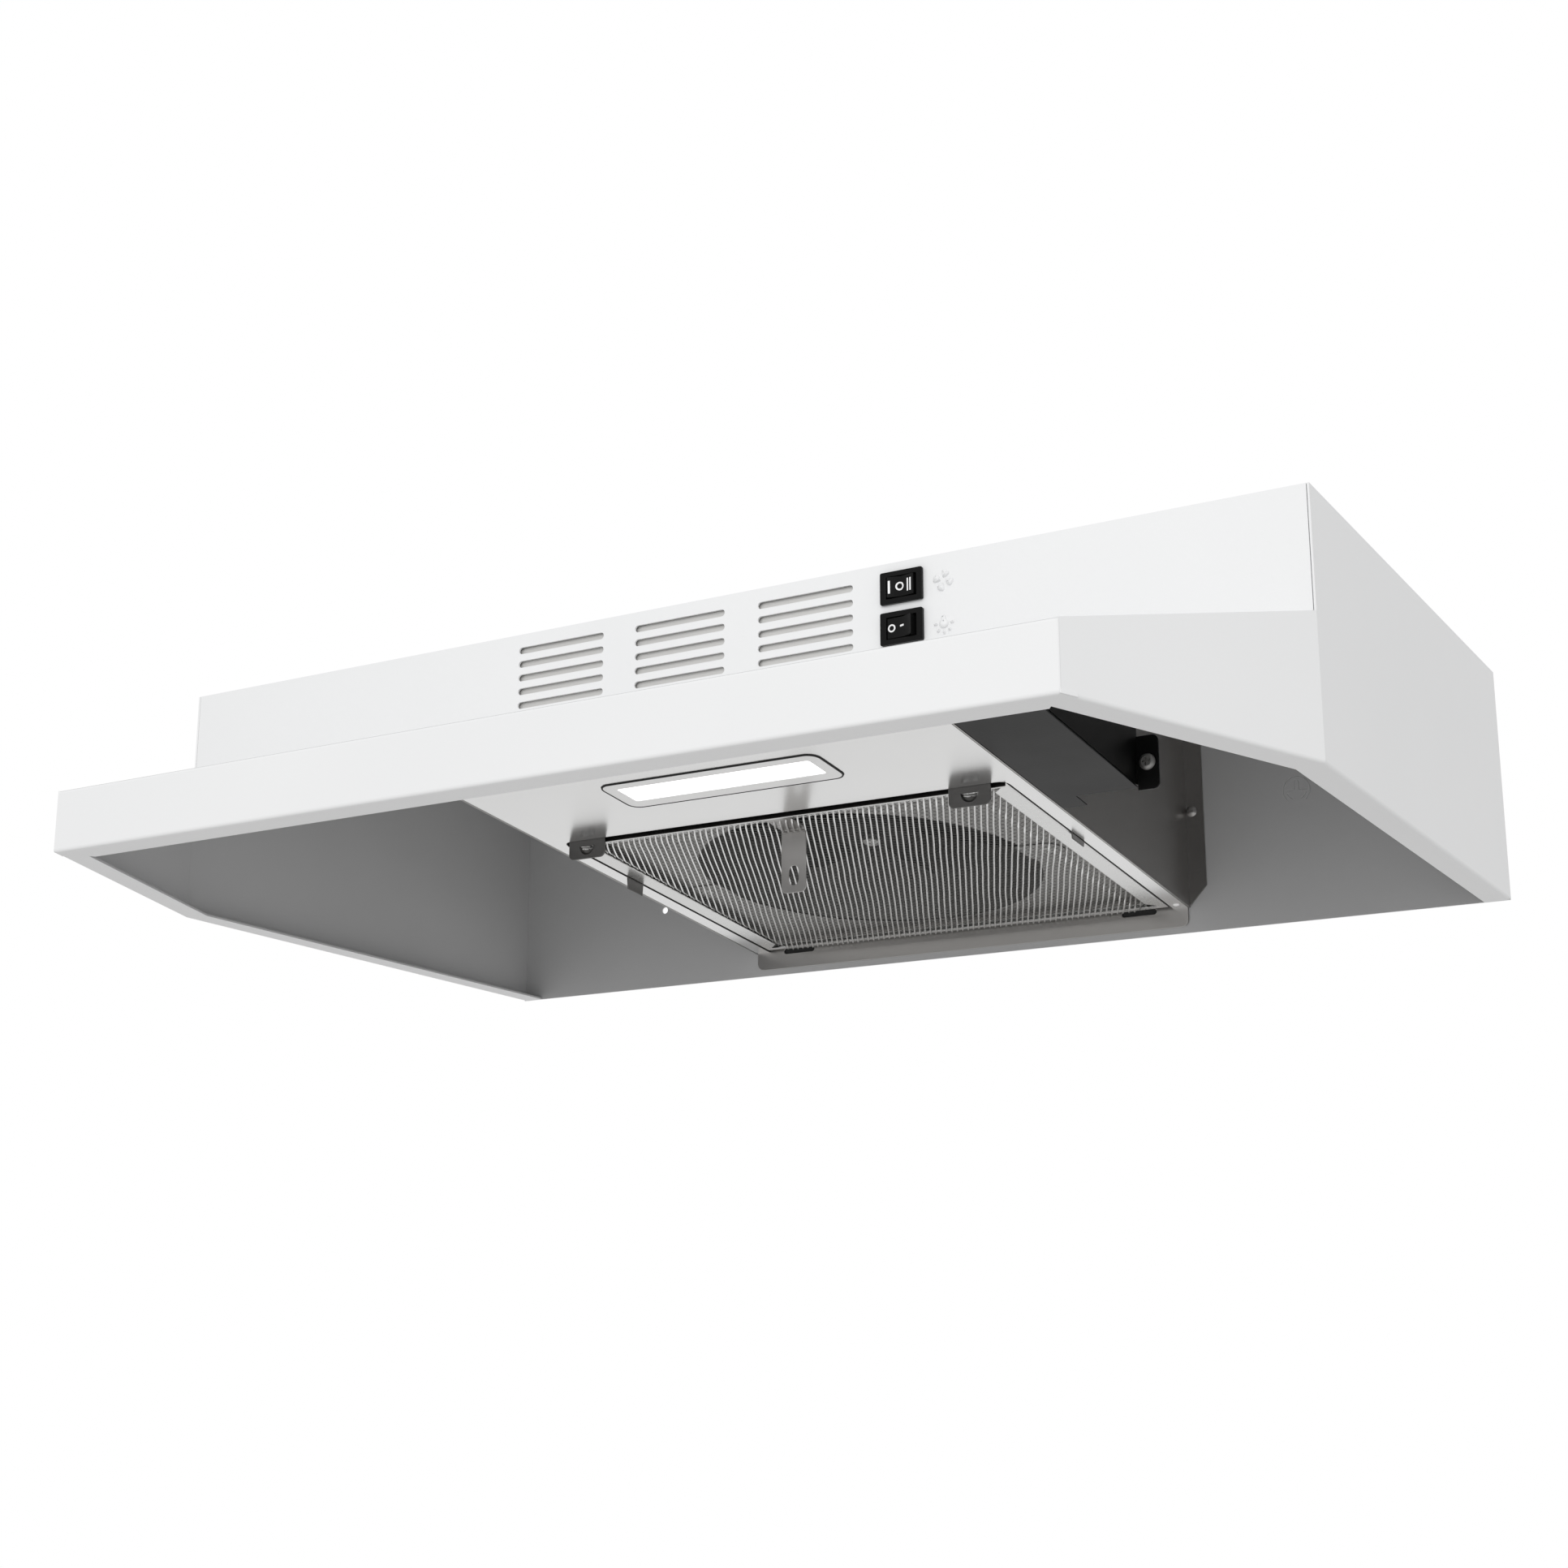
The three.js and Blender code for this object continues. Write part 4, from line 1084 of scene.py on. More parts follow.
deck_sheet = piece("deck_sheet", joined(deck, ceiling, seat_wall(), ear_boss(-1), ear_boss(1), flange,
                                        *side_lips, dimple),
                   STEEL, ["plenum_panel"], angle=40)
# Painted shade on the one steel sheet: darker steel on the rear flange's upright faces and the seat's
# ceiling, and near-black steel on the upright faces round the inlet, the holes and the seat.
coated(deck_sheet, STEEL_SHADE, lambda place, normal: place.y > REAR - 1 and abs(normal.z) < 0.8)
coated(deck_sheet, SHADED, lambda place, normal: place.y < REAR - 1 and over_deck(place) > THIN + 0.2
       and abs(place.x) < SEAT["half"] + 1)
coated(deck_sheet, CHAMBER_SHADE, lambda place, normal: place.y < REAR - 1 and abs(normal.z) < 0.5
       and abs(place.x) < SEAT["half"] + 1 and place.y > SEAT["front"] - 1)

# %% Foam behind the hook slots, and the fan chamber's sides and guides in steel darkened as painted shade
backing = [upright(plate(rounded_rect(x - 12, x + 12, HOOK_LOW - 1.2, HOOK_HIGH + 1.1, 1, 3), [],
                         0.02, 0.26, 0.05, 1), REAR + THIN) for x in HOOK_X]
piece("hook_slot_foam", joined(*backing), RUBBER, [])
# The chamber's sides and the filter guides are steel darkened as painted shade.
for side in ("left", "right"):
    softened(f"plenum_side_{side}", STEEL_SHADE, 0.5, 3)
    softened(f"filter_guide_{side}", SPRING_SHADE, 0.3, 2)

# %% [markdown]
# ## Front catches
# Two spring tongues hold the filter's front edge. Each is cut from strip with round corners, and has
# a half-moon pocket pressed back out of it. Its steel is darkened as painted shade; a painted highlight marks
# the pocket's top.

# %% The catches with their pressed pockets
def catch(name, node):
    """A tongue with a pocket, in steel darkened as painted shade. The pocket's top, where the cut is, gets a
    painted highlight in bright metal.
    """
    low, high = reach(node)
    x, y = (low.x + high.x) / 2, low.y
    radius, level, deep, shine = 4.5, -86.4, 2.0, 1.3
    outline = hanging(low.x, high.x, low.z, high.z, 3)
    moon_turns = [math.pi + math.pi * i / 16 for i in range(17)]
    moon = [polar(radius, a, x, level) for a in moon_turns]
    blank = upright(plate(outline, [moon], 0, SHEET, 0.25, 2), y)
    sections = []
    for a in moon_turns:
        pairs = []
        for j in range(9):
            r = j / 8
            px, pz = polar(radius * r, a, x, level)
            back = y + SHEET * 0.45 + deep * math.sqrt(max(0.0, 1 - r * r))
            pairs.append((Vector((px, back, pz)), Vector((px, back + 0.35, pz))))
        sections.append(pairs)
    made = piece(name, joined(blank, swept(sections)), SPRING_SHADE, [node], angle=40)
    coated(made, STRAND_AND_HIGHLIGHT, lambda place, normal: level - shine < place.z < level + 0.1
           and place.y > y + SHEET + 0.1 and abs(place.x - x) < radius)


catch("catch_tongue_left", "filter_catch_left")
catch("catch_tongue_right", "filter_catch_right")

# %% [markdown]
# ## Grease filter: the frame and its woven strands
# The filter is an aluminium band folded round a pad of expanded strands. Four families of strands
# cross each other: straight bright ones underneath, thin greyer rungs that tie them, and two slanting
# families above, near-black as painted shade. One recipe makes any family. It lays parallel lines
# across the opening, cuts each line where it leaves the opening, and lowers the middle so that the pad
# bulges.

# %% The strand recipe
strands = Recipe("crossing_strands", Width=0.0, Depth=0.0, Pitch=1.0, Angle=0.0, Radius=0.1, Sides=3,
                 EdgeHeight=0.0, Height=0.0, Shoulder=1.0, Wander=0.0, Seed=7,
                 Metal="NodeSocketMaterial")
g = strands
half_w, half_d = g.Width * 0.5, g.Depth * 0.5
cosine = g.node("ShaderNodeMath", {"operation": "COSINE"}, {0: g.Angle})
sine = g.node("ShaderNodeMath", {"operation": "SINE"}, {0: g.Angle})
span = half_w * abs(sine) + half_d * abs(cosine)
count = g.node("ShaderNodeMath", {"operation": "FLOOR"}, {0: (2.0 * span) / g.Pitch})
places = g.node("GeometryNodeMeshLine", {}, {
    "Count": count, "Offset": g.vector((0.0 - sine) * g.Pitch, cosine * g.Pitch),
    "Start Location": g.vector(sine * (count - 1.0) * g.Pitch * 0.5,
                               (0.0 - cosine) * (count - 1.0) * g.Pitch * 0.5)})
where = g.node("GeometryNodeInputPosition")
split = g.node("ShaderNodeSeparateXYZ", {}, {0: where})
at_x, at_y = split, Wire(g, split.socket.node.outputs[1])


def crossing(place, limit, direction):
    """Where a line enters and leaves a slab, as distances along it."""
    first = (limit - place) / direction
    second = (0.0 - limit - place) / direction
    return first.least(second), first.most(second)


enter_x, leave_x = crossing(at_x, half_w, cosine)
enter_y, leave_y = crossing(at_y, half_d, sine)
enter = enter_x.most(enter_y)
leave = leave_x.least(leave_y)
length = leave - enter
kept = g.node("GeometryNodeDeleteGeometry", {"domain": "POINT"},
              {"Geometry": g.node("GeometryNodeSetPosition", {}, {
                  "Geometry": g.node("GeometryNodeStoreNamedAttribute", {"data_type": "FLOAT"}, {
                      "Geometry": places, "Name": "span", "Value": length}),
                  "Offset": g.vector(enter * cosine, enter * sine)}),
               "Selection": g.node("GeometryNodeInputNamedAttribute", {"data_type": "FLOAT"},
                                   {"Name": "span"}) < 3.0})
unit_line = g.node("GeometryNodeCurvePrimitiveLine", {}, {"End": (1.0, 0.0, 0.0)})
long = g.node("GeometryNodeInputNamedAttribute", {"data_type": "FLOAT"}, {"Name": "span"})
lines = g.node("GeometryNodeInstanceOnPoints", {}, {
    "Points": kept, "Instance": unit_line, "Rotation": g.vector(0.0, 0.0, g.Angle),
    "Scale": g.vector(long, 1.0, 1.0)})
fine = g.node("GeometryNodeResampleCurve", {"mode": "LENGTH"}, {
    "Curve": g.node("GeometryNodeRealizeInstances", {}, {"Geometry": lines}), "Length": 4.5})
inside = (half_w - abs(at_x) - 4.0).least(half_d - at_y + 2.5).least(half_d + at_y + 1.5)
fall = g.node("ShaderNodeMapRange", {"interpolation_type": "SMOOTHSTEP"}, {
    "Value": inside, "From Min": 0.0, "From Max": g.Shoulder, "To Min": g.EdgeHeight,
    "To Max": g.Height})
drift = g.node("ShaderNodeTexNoise", {"noise_dimensions": "4D"}, {
    "Vector": where, "W": g.Seed, "Scale": 0.02, "Detail": 1.0}, output=1)
swing = g.node("ShaderNodeVectorMath", {"operation": "SCALE"}, {
    0: g.node("ShaderNodeVectorMath", {"operation": "SUBTRACT"}, {0: drift, 1: (0.5, 0.5, 0.5)}),
    "Scale": g.Wander})
flat_swing = g.node("ShaderNodeVectorMath", {"operation": "MULTIPLY"}, {0: swing, 1: (1.0, 1.0, 0.05)})
bent = g.node("GeometryNodeSetPosition", {}, {
    "Geometry": fine, "Offset": g.node("ShaderNodeVectorMath", {"operation": "ADD"}, {
        0: flat_swing, 1: g.vector(0.0, 0.0, fall)})})
ring = g.node("GeometryNodeCurvePrimitiveCircle", {}, {"Resolution": g.Sides, "Radius": g.Radius})
tubes = g.node("GeometryNodeCurveToMesh", {}, {"Curve": bent, "Profile Curve": ring,
                                               "Fill Caps": True})
g.finish(tubes, g.Metal)

# %% Grow the pad
frame_low, frame_high = reach("filter_frame")
REAR_ROOM = 0.34
FILTER_FRONT, FILTER_BACK = frame_low.y, frame_high.y - REAR_ROOM
FILTER_HALF = frame_high.x
BAND = {"side": 10.0, "front": 13.0, "back": 3.7}
opening = {"x": FILTER_HALF - BAND["side"], "front": FILTER_FRONT + BAND["front"],
           "back": FILTER_BACK - BAND["back"]}
tuck = 4.0
pad_front = FILTER_FRONT + 1.8
pad_back = opening["back"] + BAND["back"] - 0.3
pad_middle = (pad_front + pad_back) / 2
pad_size = {"Width": 2 * (opening["x"] + tuck), "Depth": pad_back - pad_front}
# The two slanting families are near-black as painted shade.
families = [("straight_strands", 115.0, 3.0, 0.43, 1.1, -2.35, 4, 1.5, 3, STRAND_AND_HIGHLIGHT),
            ("tying_rungs", 14.0, 2.6, 0.07, 1.3, -2.0, 3, 2.5, 5, GALVANISED),
            ("slanting_strands_a", 152.0, 3.0, 0.10, 1.9, 0.35, 3, 3.0, 8, STRAND_SHADE),
            ("slanting_strands_b", 78.0, 3.2, 0.10, 2.1, 0.9, 3, 3.0, 11, STRAND_SHADE)]
pad = []
for name, angle, pitch, radius, edge, height, sides, wander, seed, metal in families:
    mesh = strands.grow(name, Angle=math.radians(angle), Pitch=pitch, Radius=radius, EdgeHeight=edge,
                        Height=height, Sides=sides, Shoulder=8.0, Wander=wander, Seed=seed, Metal=metal,
                        **pad_size)
    pad.append(shape_of(mesh))
for name, parts, metal, nodes in (("filter_strands", pad[:1], STRAND_AND_HIGHLIGHT, ["filter_mesh"]),
                                  ("filter_rungs", pad[1:2], GALVANISED, []),
                                  ("filter_slanting_strands", pad[2:], STRAND_SHADE, [])):
    laid_pad = moved(joined(*parts), lambda x, y, z: on_deck(x, y + pad_middle, z))
    piece(name, laid_pad, metal, nodes, "grease_filter", 60)

# %% Fold the band and its mitred corners
def band_section(x, y, inwards, wide):
    """The closed section of the folded band at one corner."""
    if wide == BAND["front"]:
        line = [(0.0, -0.9), (0.15, -1.15), (0.6, -1.3), (1.2, -1.3), (1.45, -1.0), (1.5, 0.6), (1.5, 2.4),
                (wide - 0.4, 2.4), (wide, 2.6), (wide, 3.0), (wide - 0.4, 3.2), (0.6, 3.2),
                (0.15, 3.05), (0.0, 2.7)]
    else:
        line = [(0.0, 0.5), (0.15, 0.15), (0.6, 0.0), (wide - 0.5, 0.0), (wide - 0.1, 0.12), (wide, 0.4),
                (wide - 0.1, 0.6), (wide - 0.5, 0.7), (1.2, 0.7), (0.9, 1.0), (0.9, 2.3), (1.2, 2.6),
                (wide - 2.0, 2.6), (wide - 1.8, 2.9), (wide - 2.0, 3.2), (0.6, 3.2), (0.15, 3.05),
                (0.0, 2.7)]
    return [on_deck(x + inwards[0] * u, y + inwards[1] * u, w) for u, w in line]


def band():
    """Four runs of the band, each cut to the next along the corner's diagonal."""
    corners = [(-FILTER_HALF, FILTER_FRONT, (1, 1)), (FILTER_HALF, FILTER_FRONT, (-1, 1)),
               (FILTER_HALF, FILTER_BACK, (-1, -1)), (-FILTER_HALF, FILTER_BACK, (1, -1))]
    points, faces = [], []
    runs = [(0, 1, BAND["front"]), (1, 2, BAND["side"]), (2, 3, BAND["back"]), (3, 0, BAND["side"])]
    for first, second, wide in runs:
        rows = [band_section(*corners[i][:2], corners[i][2], wide) for i in (first, second)]
        count = len(rows[0])
        start = len(points)
        points += rows[0] + rows[1]
        faces += bridge(start, start + count, count)
        faces += [tuple(range(start, start + count)), tuple(range(start + count, start + 2 * count))]
    return points, faces


filter_band = piece("filter_band", band(), ALUMINIUM, ["filter_frame"],
                    "grease_filter", 50)
# Painted shade: the band's front face is near-black.
coated(filter_band, STRAND_SHADE,
       lambda place, normal: place.y < FILTER_FRONT + 0.4 and normal.y < -0.6)

# %% [markdown]
# ## Pull tab
# A strip with an oblong finger hole, folded through nearly a right angle. The folded sheet helper
# gives the bend, and the hanging leaf is a plate with the hole cut through.

# %% The pull tab
tab_low, tab_high = reach("filter_pull_tab")
tab_wide = tab_high.x
leaf_face = tab_high.y
leaf_top = deck_z(leaf_face) - 0.3 - THIN / 2
leaf_top_z = leaf_top - 2.2
leaf_line = hanging(-tab_wide, tab_wide, tab_low.z, leaf_top_z, 3)
finger = rounded_rect(-2.8, 2.8, -115.2, -105.2, 2.79, 8)
leaf = upright(plate(leaf_line, [finger], 0, THIN, 0.25, 2), leaf_face - THIN)
fold_line = [(tab_low.y, deck_z(tab_low.y) - 0.3 - THIN / 2), (leaf_face - THIN / 2, leaf_top),
             (leaf_face - THIN / 2, leaf_top_z - 0.01)]
bend = folded(fold_line, 1.3, THIN, 6)
tongue = swept([[(Vector((x, *p)), Vector((x, *q))) for p, q in bend]
                for x in (-tab_wide + 0.05, tab_wide - 0.05)])
# The tab is in the darkened steel of painted shade.
piece("pull_tab", joined(leaf, tongue), STEEL_SHADE, ["filter_pull_tab"], "grease_filter", 40)

# %% [markdown]
# ## Lamp
# The bezel is glossy white plastic, and the deck's hole is a little larger, so a dark line runs
# round it. The lens glows evenly because it is opal; a strip of small emitters sits behind it.

# %% Bezel, lens, housing and board
lens_low, lens_high = reach("lamp_lens")
bezel_line = rounded_rect(lamp_low.x, lamp_high.x, LAMP["front"], LAMP["back"], 6, 8)
bezel_hole = rounded_rect(lens_low.x - 0.3, lens_high.x + 0.3, 26.7, 44.3, 1.2, 4)
lens_line = rounded_rect(lens_low.x, lens_high.x, 27.0, 44.0, 1, 4)
piece("lamp_bezel_made", laid(plate(bezel_line, [bezel_hole], -0.4, 1.4, 0.5, 3)), LAMP_WHITE,
      ["lamp_bezel"])
piece("lamp_diffuser", laid(plate(lens_line, [], -0.3, 1.2, 0.35, 3)), LENS, ["lamp_lens"])
gasket_line = rounded_rect(lamp_low.x - 0.42, lamp_high.x + 0.42, 19.6, 52.4, 6.3, 8)
gasket_hole = rounded_rect(lamp_low.x + 0.3, lamp_high.x - 0.3, 20.3, 51.7, 5.7, 8)
piece("lamp_gasket", laid(plate(gasket_line, [gasket_hole], -0.55, 0.9, 0.15, 2)), RUBBER,
      [])
softened("lamp_housing", LAMP_WHITE, 0.4)
board_up = 12.1
board_sheet = laid(plate([(-50, 29.1), (50, 29.1), (50, 41.9), (-50, 41.9)], [], board_up,
                         board_up + 1.6, 0.15, 1))
chips = [laid(plate(rounded_rect(x - 1.4, x + 1.4, 34.1, 36.9, 0.3, 2), [], board_up - 0.7,
                    board_up, 0.15, 1)) for x in range(-45, 46, 9)]
piece("lamp_board_made", joined(board_sheet, *chips), BOARD, ["led_board"])

# %% [markdown]
# ## Rocker switches
# Each key has two facets that meet in a shallow valley, so one end always stands out of the frame.
# The marks are printed: each is a film that stands a few hundredths out of the face, and it rides
# with the key.

# %% Switch bodies and keys
for kind in ("fan", "light"):
    softened(f"{kind}_switch_body", BLACK_PLASTIC, 0.45, 3, limit=50)

KEY = {"half": 6.6, "tall": 9.6, "face": -4.0, "valley": -2.6}
VALLEY_X = {"fan": 0.0, "light": 1.5}
LIGHT_KEY_REST = 12


def key_place(kind):
    """Puts a key's own points at its pin, turned to its resting angle."""
    joint = joints[f"{kind}_rocker_tilt"]
    pin = in_hood(joint["pos_m"])
    turn = 0.0 if kind == "fan" else -math.radians(LIGHT_KEY_REST)
    return lambda x, y, z: pin + Matrix.Rotation(turn, 3, "Z") @ Vector((x, y, z))


def face_y(kind, x):
    """Depth of the key's face, lowest in the valley."""
    side = KEY["half"] - VALLEY_X[kind] if x > VALLEY_X[kind] else KEY["half"] + VALLEY_X[kind]
    return KEY["valley"] + (KEY["face"] - KEY["valley"]) * abs(x - VALLEY_X[kind]) / side


def printed(kind, outline, holes=()):
    """A thin film on the key's face."""
    film = plate(outline, list(holes), -0.08, 0.02, 0.01, 1)
    return moved(film, lambda x, z, w: (x, face_y(kind, x) + w, z))


def key(kind, marks):
    """A key and its printed marks, both riding on the key's own body."""
    half, tall, edge = KEY["half"], KEY["tall"] / 2, 0.35
    end, brow = KEY["face"] + edge, KEY["face"] + 0.02
    across = [(-half, end), (-half + edge, brow), (VALLEY_X[kind], KEY["valley"]), (half - edge, brow),
              (half, end), (6.5, 1.2), (1.5, 3), (-1.5, 3), (-5.6, 1.2)]
    body = plate(across, [], -tall, tall, 0.3, 3)
    place = key_place(kind)
    piece(f"{kind}_key", moved(body, place), BLACK_PLASTIC, [f"{kind}_rocker"],
          f"{kind}_key", 30)
    piece(f"{kind}_key_marks", moved(joined(*marks), place), MARK_WHITE, [],
          f"{kind}_key", 30)


def ring_mark(kind, x, outer, inner):
    """A printed O."""
    return printed(kind, circle(x, 0, outer, 36), [circle(x, 0, inner, 28)])


bars = [rounded_rect(x - half, x + half, -3.0, 3.0, 0.1, 1)
        for x, half in ((-5.45, 0.48), (3.6, 0.38), (5.05, 0.38))]
key("fan", [printed("fan", line) for line in bars] + [ring_mark("fan", -0.55, 2.0, 1.25)])
dash = [(x, 0.4 + z + 0.12 * x) for x, z in ((0.0, -0.42), (1.9, -0.42), (1.9, 0.42), (0.0, 0.42))]
key("light", [ring_mark("light", -4.2, 1.85, 1.15), printed("light", dash)])

# %% [markdown]
# ## Wiring box
# A black painted box stands beside the fan chamber, with a cover below and one ear that a screw
# holds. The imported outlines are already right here, so these pieces only need soft edges and a finish.
# Grey sleeved leads leave the box through rubber grommets.

# %% Wiring box, cover and what is in it
softened("wiring_box", BLACK_PAINT, 0.35, 2)
softened("wiring_cover", BLACK_PAINT, 0.3, 2)
softened("terminal_block", LAMP_WHITE, 0.4, 2)
softened("motor_capacitor", MOTOR_GREY, 0.4, 2)
softened("led_driver", MOTOR_GREY, 0.8, 3)
for lead_name in ("motor", "lamp", "switch"):
    softened(f"{lead_name}_grommet", RUBBER, 0.3, 2)
    softened(f"{lead_name}_lead", SLEEVE, 0.1, 1)

# %% [markdown]
# ## Fan
# The blades are moulded in one piece with the hub: thin, pitched and twisted, with less pitch
# towards the tip. One blade is lofted and a recipe sets copies of it round the hub.

# %% The blade ring recipe
ring_recipe = Recipe("ring_of_copies", Count=1, Material="NodeSocketMaterial")
g = ring_recipe
one_blade = g.incoming()
hub_points = g.node("GeometryNodeMeshLine", {}, {"Count": g.Count})
spin = g.node("GeometryNodeInputIndex") * (2 * math.pi) / g.Count
still = g.node("GeometryNodeSetPosition", {}, {"Geometry": hub_points, "Position": (0.0, 0.0, 0.0)})
copies = g.node("GeometryNodeInstanceOnPoints", {}, {
    "Points": still, "Instance": one_blade, "Rotation": g.vector(0.0, 0.0, spin)})
g.finish(copies, g.Material)


def blade():
    """One fan blade lofted from the hub to the tip, in millimetres round the fan's axis."""
    sections = []
    middle, root, tip, rows = 34.0, 23.0, 82.5, 12
    for i in range(rows + 1):
        t = i / rows
        r = root + (tip - root) * t
        pitch = math.radians(36 - 9 * t)
        chord = 22.0 + 14.0 * math.sin(math.pi * min(1, 0.15 + 0.75 * t))
        lead = -5.0 * t * t
        if t > 0.9:
            chord *= 1 - 2.2 * (t - 0.9)
        pairs = []
        for j in range(11):
            s = j / 10 - 0.5
            camber = 1.6 * (1 - 4 * s * s)
            across = s * chord + lead
            flat, rise = across * math.cos(pitch), across * math.sin(pitch)
            x = math.sqrt(max(r * r - flat * flat * 0.6, 1.0))
            thick = 0.9 * (1 - 1.6 * abs(s)) + 0.35
            pairs.append((Vector((x, flat, middle + rise + camber + thick / 2)),
                          Vector((x, flat, middle + rise + camber - thick / 2))))
        sections.append(pairs)
    return swept(sections)


# %% The fan, its shaft, nut and motor
def plain_mesh(name, shape):
    """A mesh in the shape's own measure, for a recipe to copy."""
    mesh = bpy.data.meshes.new(name)
    mesh.from_pydata([tuple(p) for p in shape[0]], [], shape[1])
    clean(mesh, 0.001)
    return mesh


def over_fan(x, y, z):
    """A point on the fan's own axis system, set in the hood."""
    tilt = Matrix.Rotation(-math.atan(DECK_SLOPE), 3, "X")
    return FAN + tilt @ Vector((x, y, z))


BLADES = 7
blades = ring_recipe.grow("fan_blades", plain_mesh("blade", blade()), Count=BLADES, Material=FAN_PLASTIC)
hub = spun([(3.3, 24.6), (3.8, 24.1), (18.5, 24.1), (22.0, 25.2), (24.2, 27.4), (24.9, 30.0), (24.9, 43.4),
            (24.3, 43.9), (21.5, 43.9), (21.5, 28.5), (8.0, 28.5), (8.0, 43.9), (3.3, 43.9),
            (3.3, 24.6)], 56)
piece("impeller_made", moved(joined(shape_of(blades), hub), over_fan), FAN_PLASTIC,
      ["impeller"], "rotor", 45)
nut = spun([(0.0, 19.05), (2.4, 19.1), (3.6, 19.7), (5.0, 20.3), (5.45, 20.8), (5.45, 23.0), (5.1, 23.3),
            (0.0, 23.3)], 6)
piece("impeller_nut_made", moved(nut, over_fan), ZINC, ["impeller_nut"], "rotor", 30)
softened("motor_shaft", ZINC, 0.3, 2, "rotor")
softened("fan_motor", MOTOR_GREY, 0.8, 3)
# The motor bridge is in the near-black steel of painted shade.
softened("motor_bridge", CHAMBER_SHADE, 0.3, 2)

# %% The shroud round the fan
LIP_OUT, SHROUD_TOP, LIP_TOP = 3.0, 60.0, 6.4
base = SEAT["up"] + THIN + 0.3
profile = [(LIP_OUT, base + 0.1), (LIP_OUT - 0.3, base), (1.2, base), (0.7, base + 0.3), (0.5, base + 0.9),
           (0.5, SHROUD_TOP - 0.4), (0.9, SHROUD_TOP), (1.1, SHROUD_TOP), (1.3, SHROUD_TOP - 0.4),
           (1.3, LIP_TOP + 0.6), (1.8, LIP_TOP), (LIP_OUT, LIP_TOP), (LIP_OUT, base + 0.1)]
shroud = spun([(INLET_R + out, z) for out, z in profile], 96)
piece("fan_shroud_made", moved(shroud, over_fan), GALVANISED, ["fan_shroud"])

# %% [markdown]
# ## Screws and rivets
# The screws are pan heads with a cross recess and the rivets are low domes. One recipe puts a given
# head on every point of a list, and turns it to that point's own axis.

# %% The fastener recipe
fasteners = Recipe("fasteners", Head="NodeSocketObject", Metal="NodeSocketMaterial")
g = fasteners
spots = g.incoming()
head_mesh = g.node("GeometryNodeObjectInfo", {}, {"Object": g.Head}, output="Geometry")
axis = g.node("GeometryNodeInputNamedAttribute", {"data_type": "FLOAT_VECTOR"}, {"Name": "axis"})
aim = g.node("FunctionNodeAlignRotationToVector", {"axis": "Z"}, {"Vector": axis})
heads = g.node("GeometryNodeInstanceOnPoints", {}, {
    "Points": spots, "Instance": head_mesh, "Rotation": aim})
g.finish(heads, g.Metal)


def cross_head(r, high, shank):
    """A pan head with a cross recess. Its axis z points out of the sheet."""
    arm, wide = 0.52 * r, 0.13 * r
    cross = [turned_point(u, v, math.pi / 2 * quarter) for quarter in range(4)
             for u, v in ((wide, -wide), (arm, -wide), (arm, wide))]
    count = 40
    flat_r, flat_z = 0.62 * r, 0.96 * high
    rim = circle(0, 0, flat_r, count)
    points = [(x, y, flat_z) for x, y in rim + cross]
    last = 2 * count + len(cross) - 1
    faces = [tuple(i if i < count else last - i for i in face) for face in fill([rim, cross[::-1]], 0)]
    floor_start = len(points)
    points += [(x * 0.8, y * 0.8, high * 0.35) for x, y in cross]
    faces += bridge(count, floor_start, len(cross))
    faces.append(tuple(range(floor_start, floor_start + len(cross)))[::-1])
    dome = [(flat_r, flat_z), (r * 0.82, high * 0.8), (r * 0.95, high * 0.5), (r, high * 0.15),
            (r * 0.97, 0.0), (0.4 * r, 0.0), (0.4 * r, -shank * 0.8), (0.2 * r, -shank), (0.0, -shank)]
    return joined((points, faces), spun(dome, count))


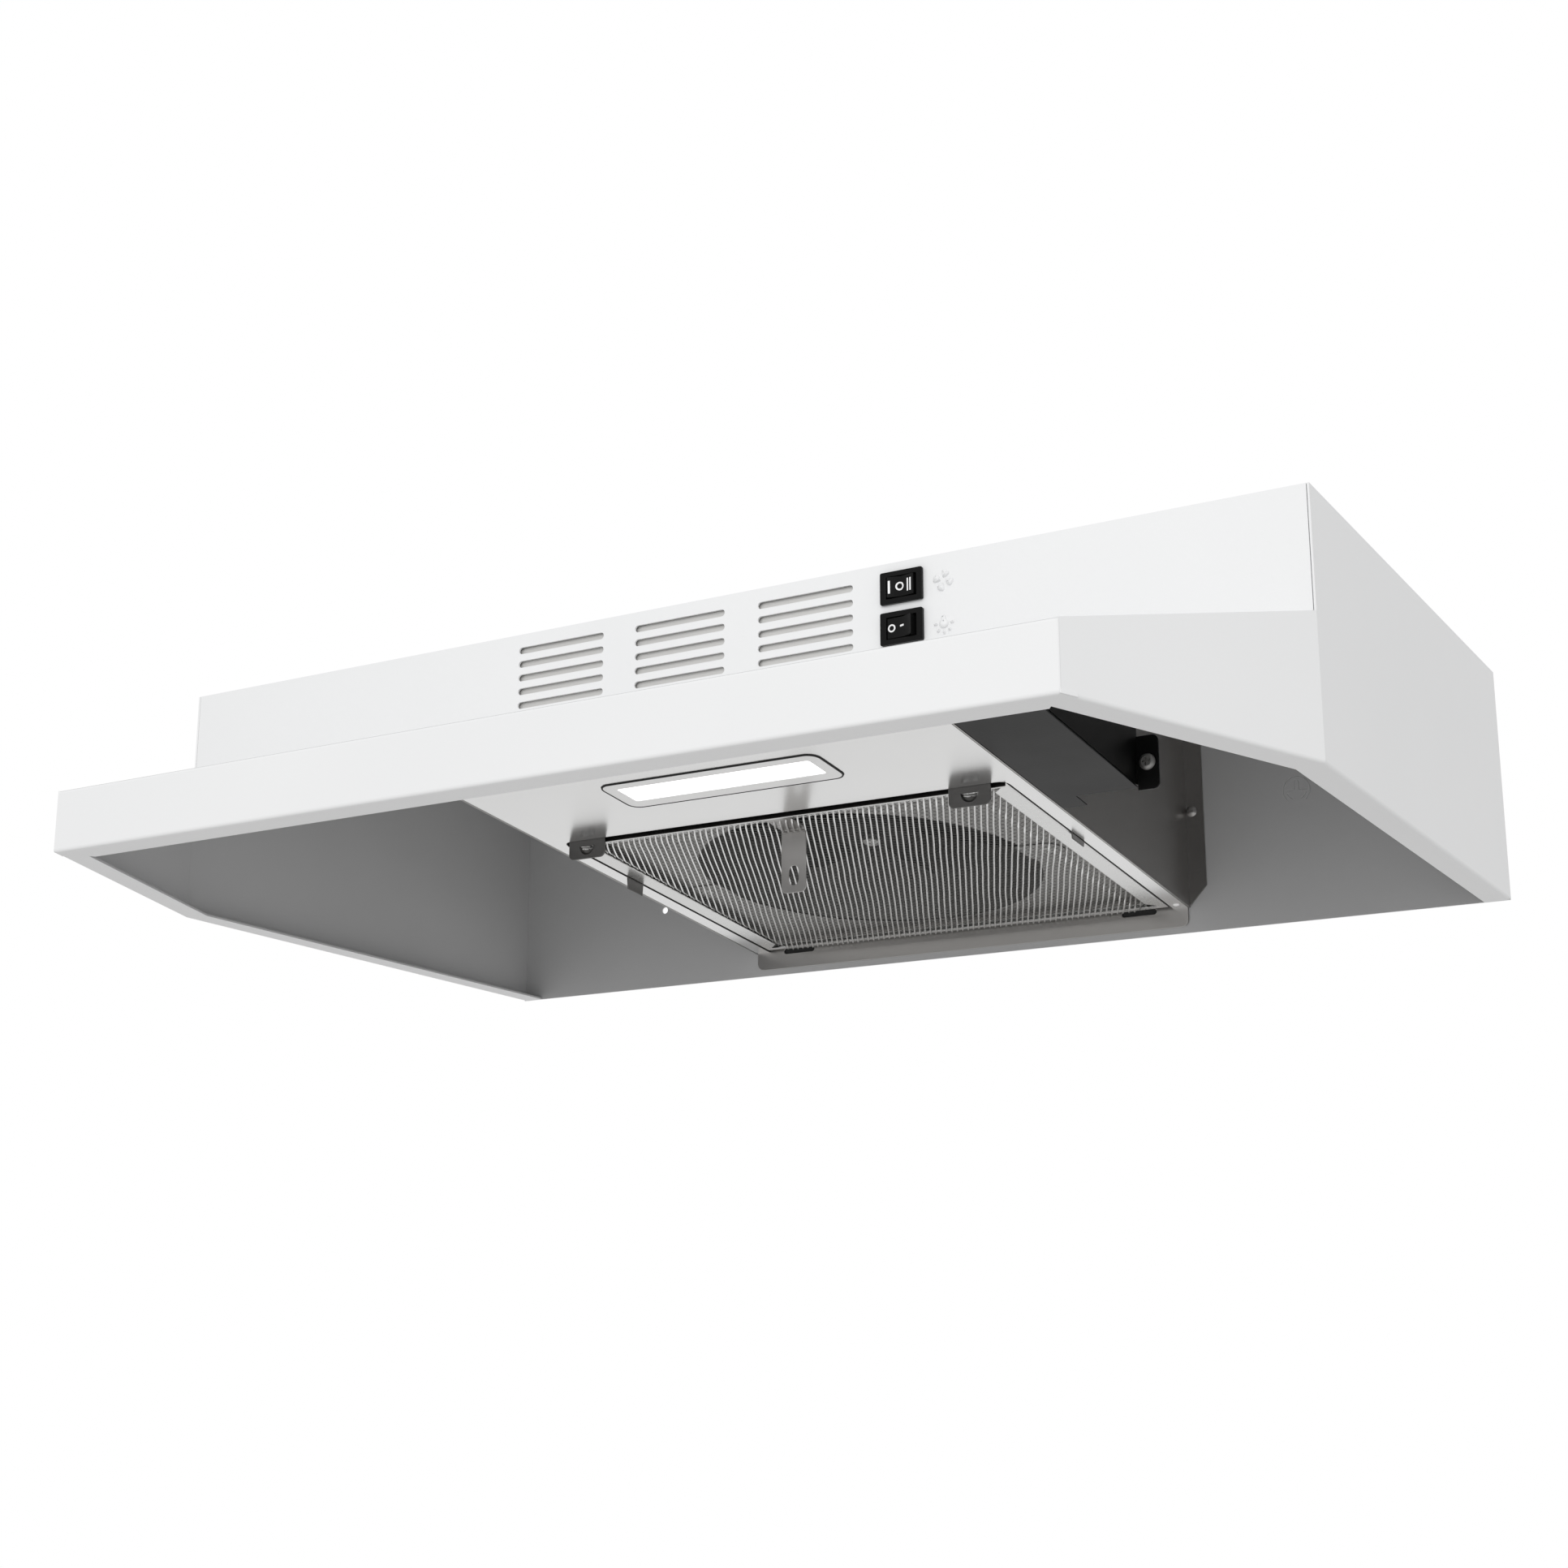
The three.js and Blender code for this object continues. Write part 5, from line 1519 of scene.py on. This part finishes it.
def fixed(name, head, spots, metal, nodes):
    """One mesh of all these fasteners. spots are pairs of place and axis."""
    holder = placed(name + "_head", plain_mesh(name + "_head", head))
    mesh = bpy.data.meshes.new(name)
    mesh.from_pydata([tuple(place) for place, _ in spots], [], [])
    lane = mesh.attributes.new("axis", "FLOAT_VECTOR", "POINT")
    for i, (_, direction) in enumerate(spots):
        lane.data[i].vector = direction
    made = fasteners.grow(name, mesh, Head=holder, Metal=metal)
    bpy.data.objects.remove(holder)
    piece(name, shape_of(made), metal, nodes)


# %% Set the screws and rivets
ears = [FAN + Vector((side * EAR, 0, 0)) + UP * (SEAT["up"] - 0.3) for side in (-1, 1)]
fixed("fan_screws", cross_head(3.8, 1.2, 6.5), [(place, -UP) for place in ears], ZINC,
      ["fan_screw_left", "fan_screw_right"])
FORWARD = (0, -1, 0)


def seat_of(node, head):
    """Where a fastener that faces forward sits: the middle of its node, a head's height behind its face."""
    low, high = reach(node)
    return Vector(((low.x + high.x) / 2, low.y + head, (low.z + high.z) / 2))


SCREW_HEAD, RIVET_HEAD = 2.2, 1.3
fixed("cover_screw", cross_head(4.0, SCREW_HEAD, 6.8), [(seat_of("wiring_box_screw", SCREW_HEAD), FORWARD)],
      GALVANISED, ["wiring_box_screw"])
rivet_dome = spun([(0, RIVET_HEAD), (1.0, 1.2), (2.2, 0.8), (3.0, 0.15), (3.1, 0.0), (1.5, 0.0), (1.5, -1.2),
                   (0, -1.3)], 32)
rivet_nodes = ["plenum_rivet_left", "plenum_rivet_right"]
# The rivets are in the darkened steel of painted shade.
fixed("plenum_rivets", rivet_dome, [(seat_of(node, RIVET_HEAD), FORWARD) for node in rivet_nodes], STEEL_SHADE,
      rivet_nodes)

# %% [markdown]
# ## Floor
# The floor is a square of slightly grey matt paper, far enough below the hood to show no shadow. The
# steel deck mirrors it, so its tone sets how bright the deck looks.

# %% Floor
FLOOR_REACH = 2.0
floor_mesh = bpy.data.meshes.new("floor")
floor_corners = [(x * FLOOR_REACH, y * FLOOR_REACH, FLOOR_Z) for x, y in ((-1, -1), (1, -1), (1, 1), (-1, 1))]
floor_mesh.from_pydata(floor_corners, [], [(0, 1, 2, 3)])
floor = placed("floor", floor_mesh)
paper = Finish("floor_paper")
floor_mesh.materials.append(paper.set(base_color=paper.blend(paper.noise(0.5), (0.66, 0.655, 0.65),
                                                             (0.7, 0.695, 0.69)), roughness=0.9))
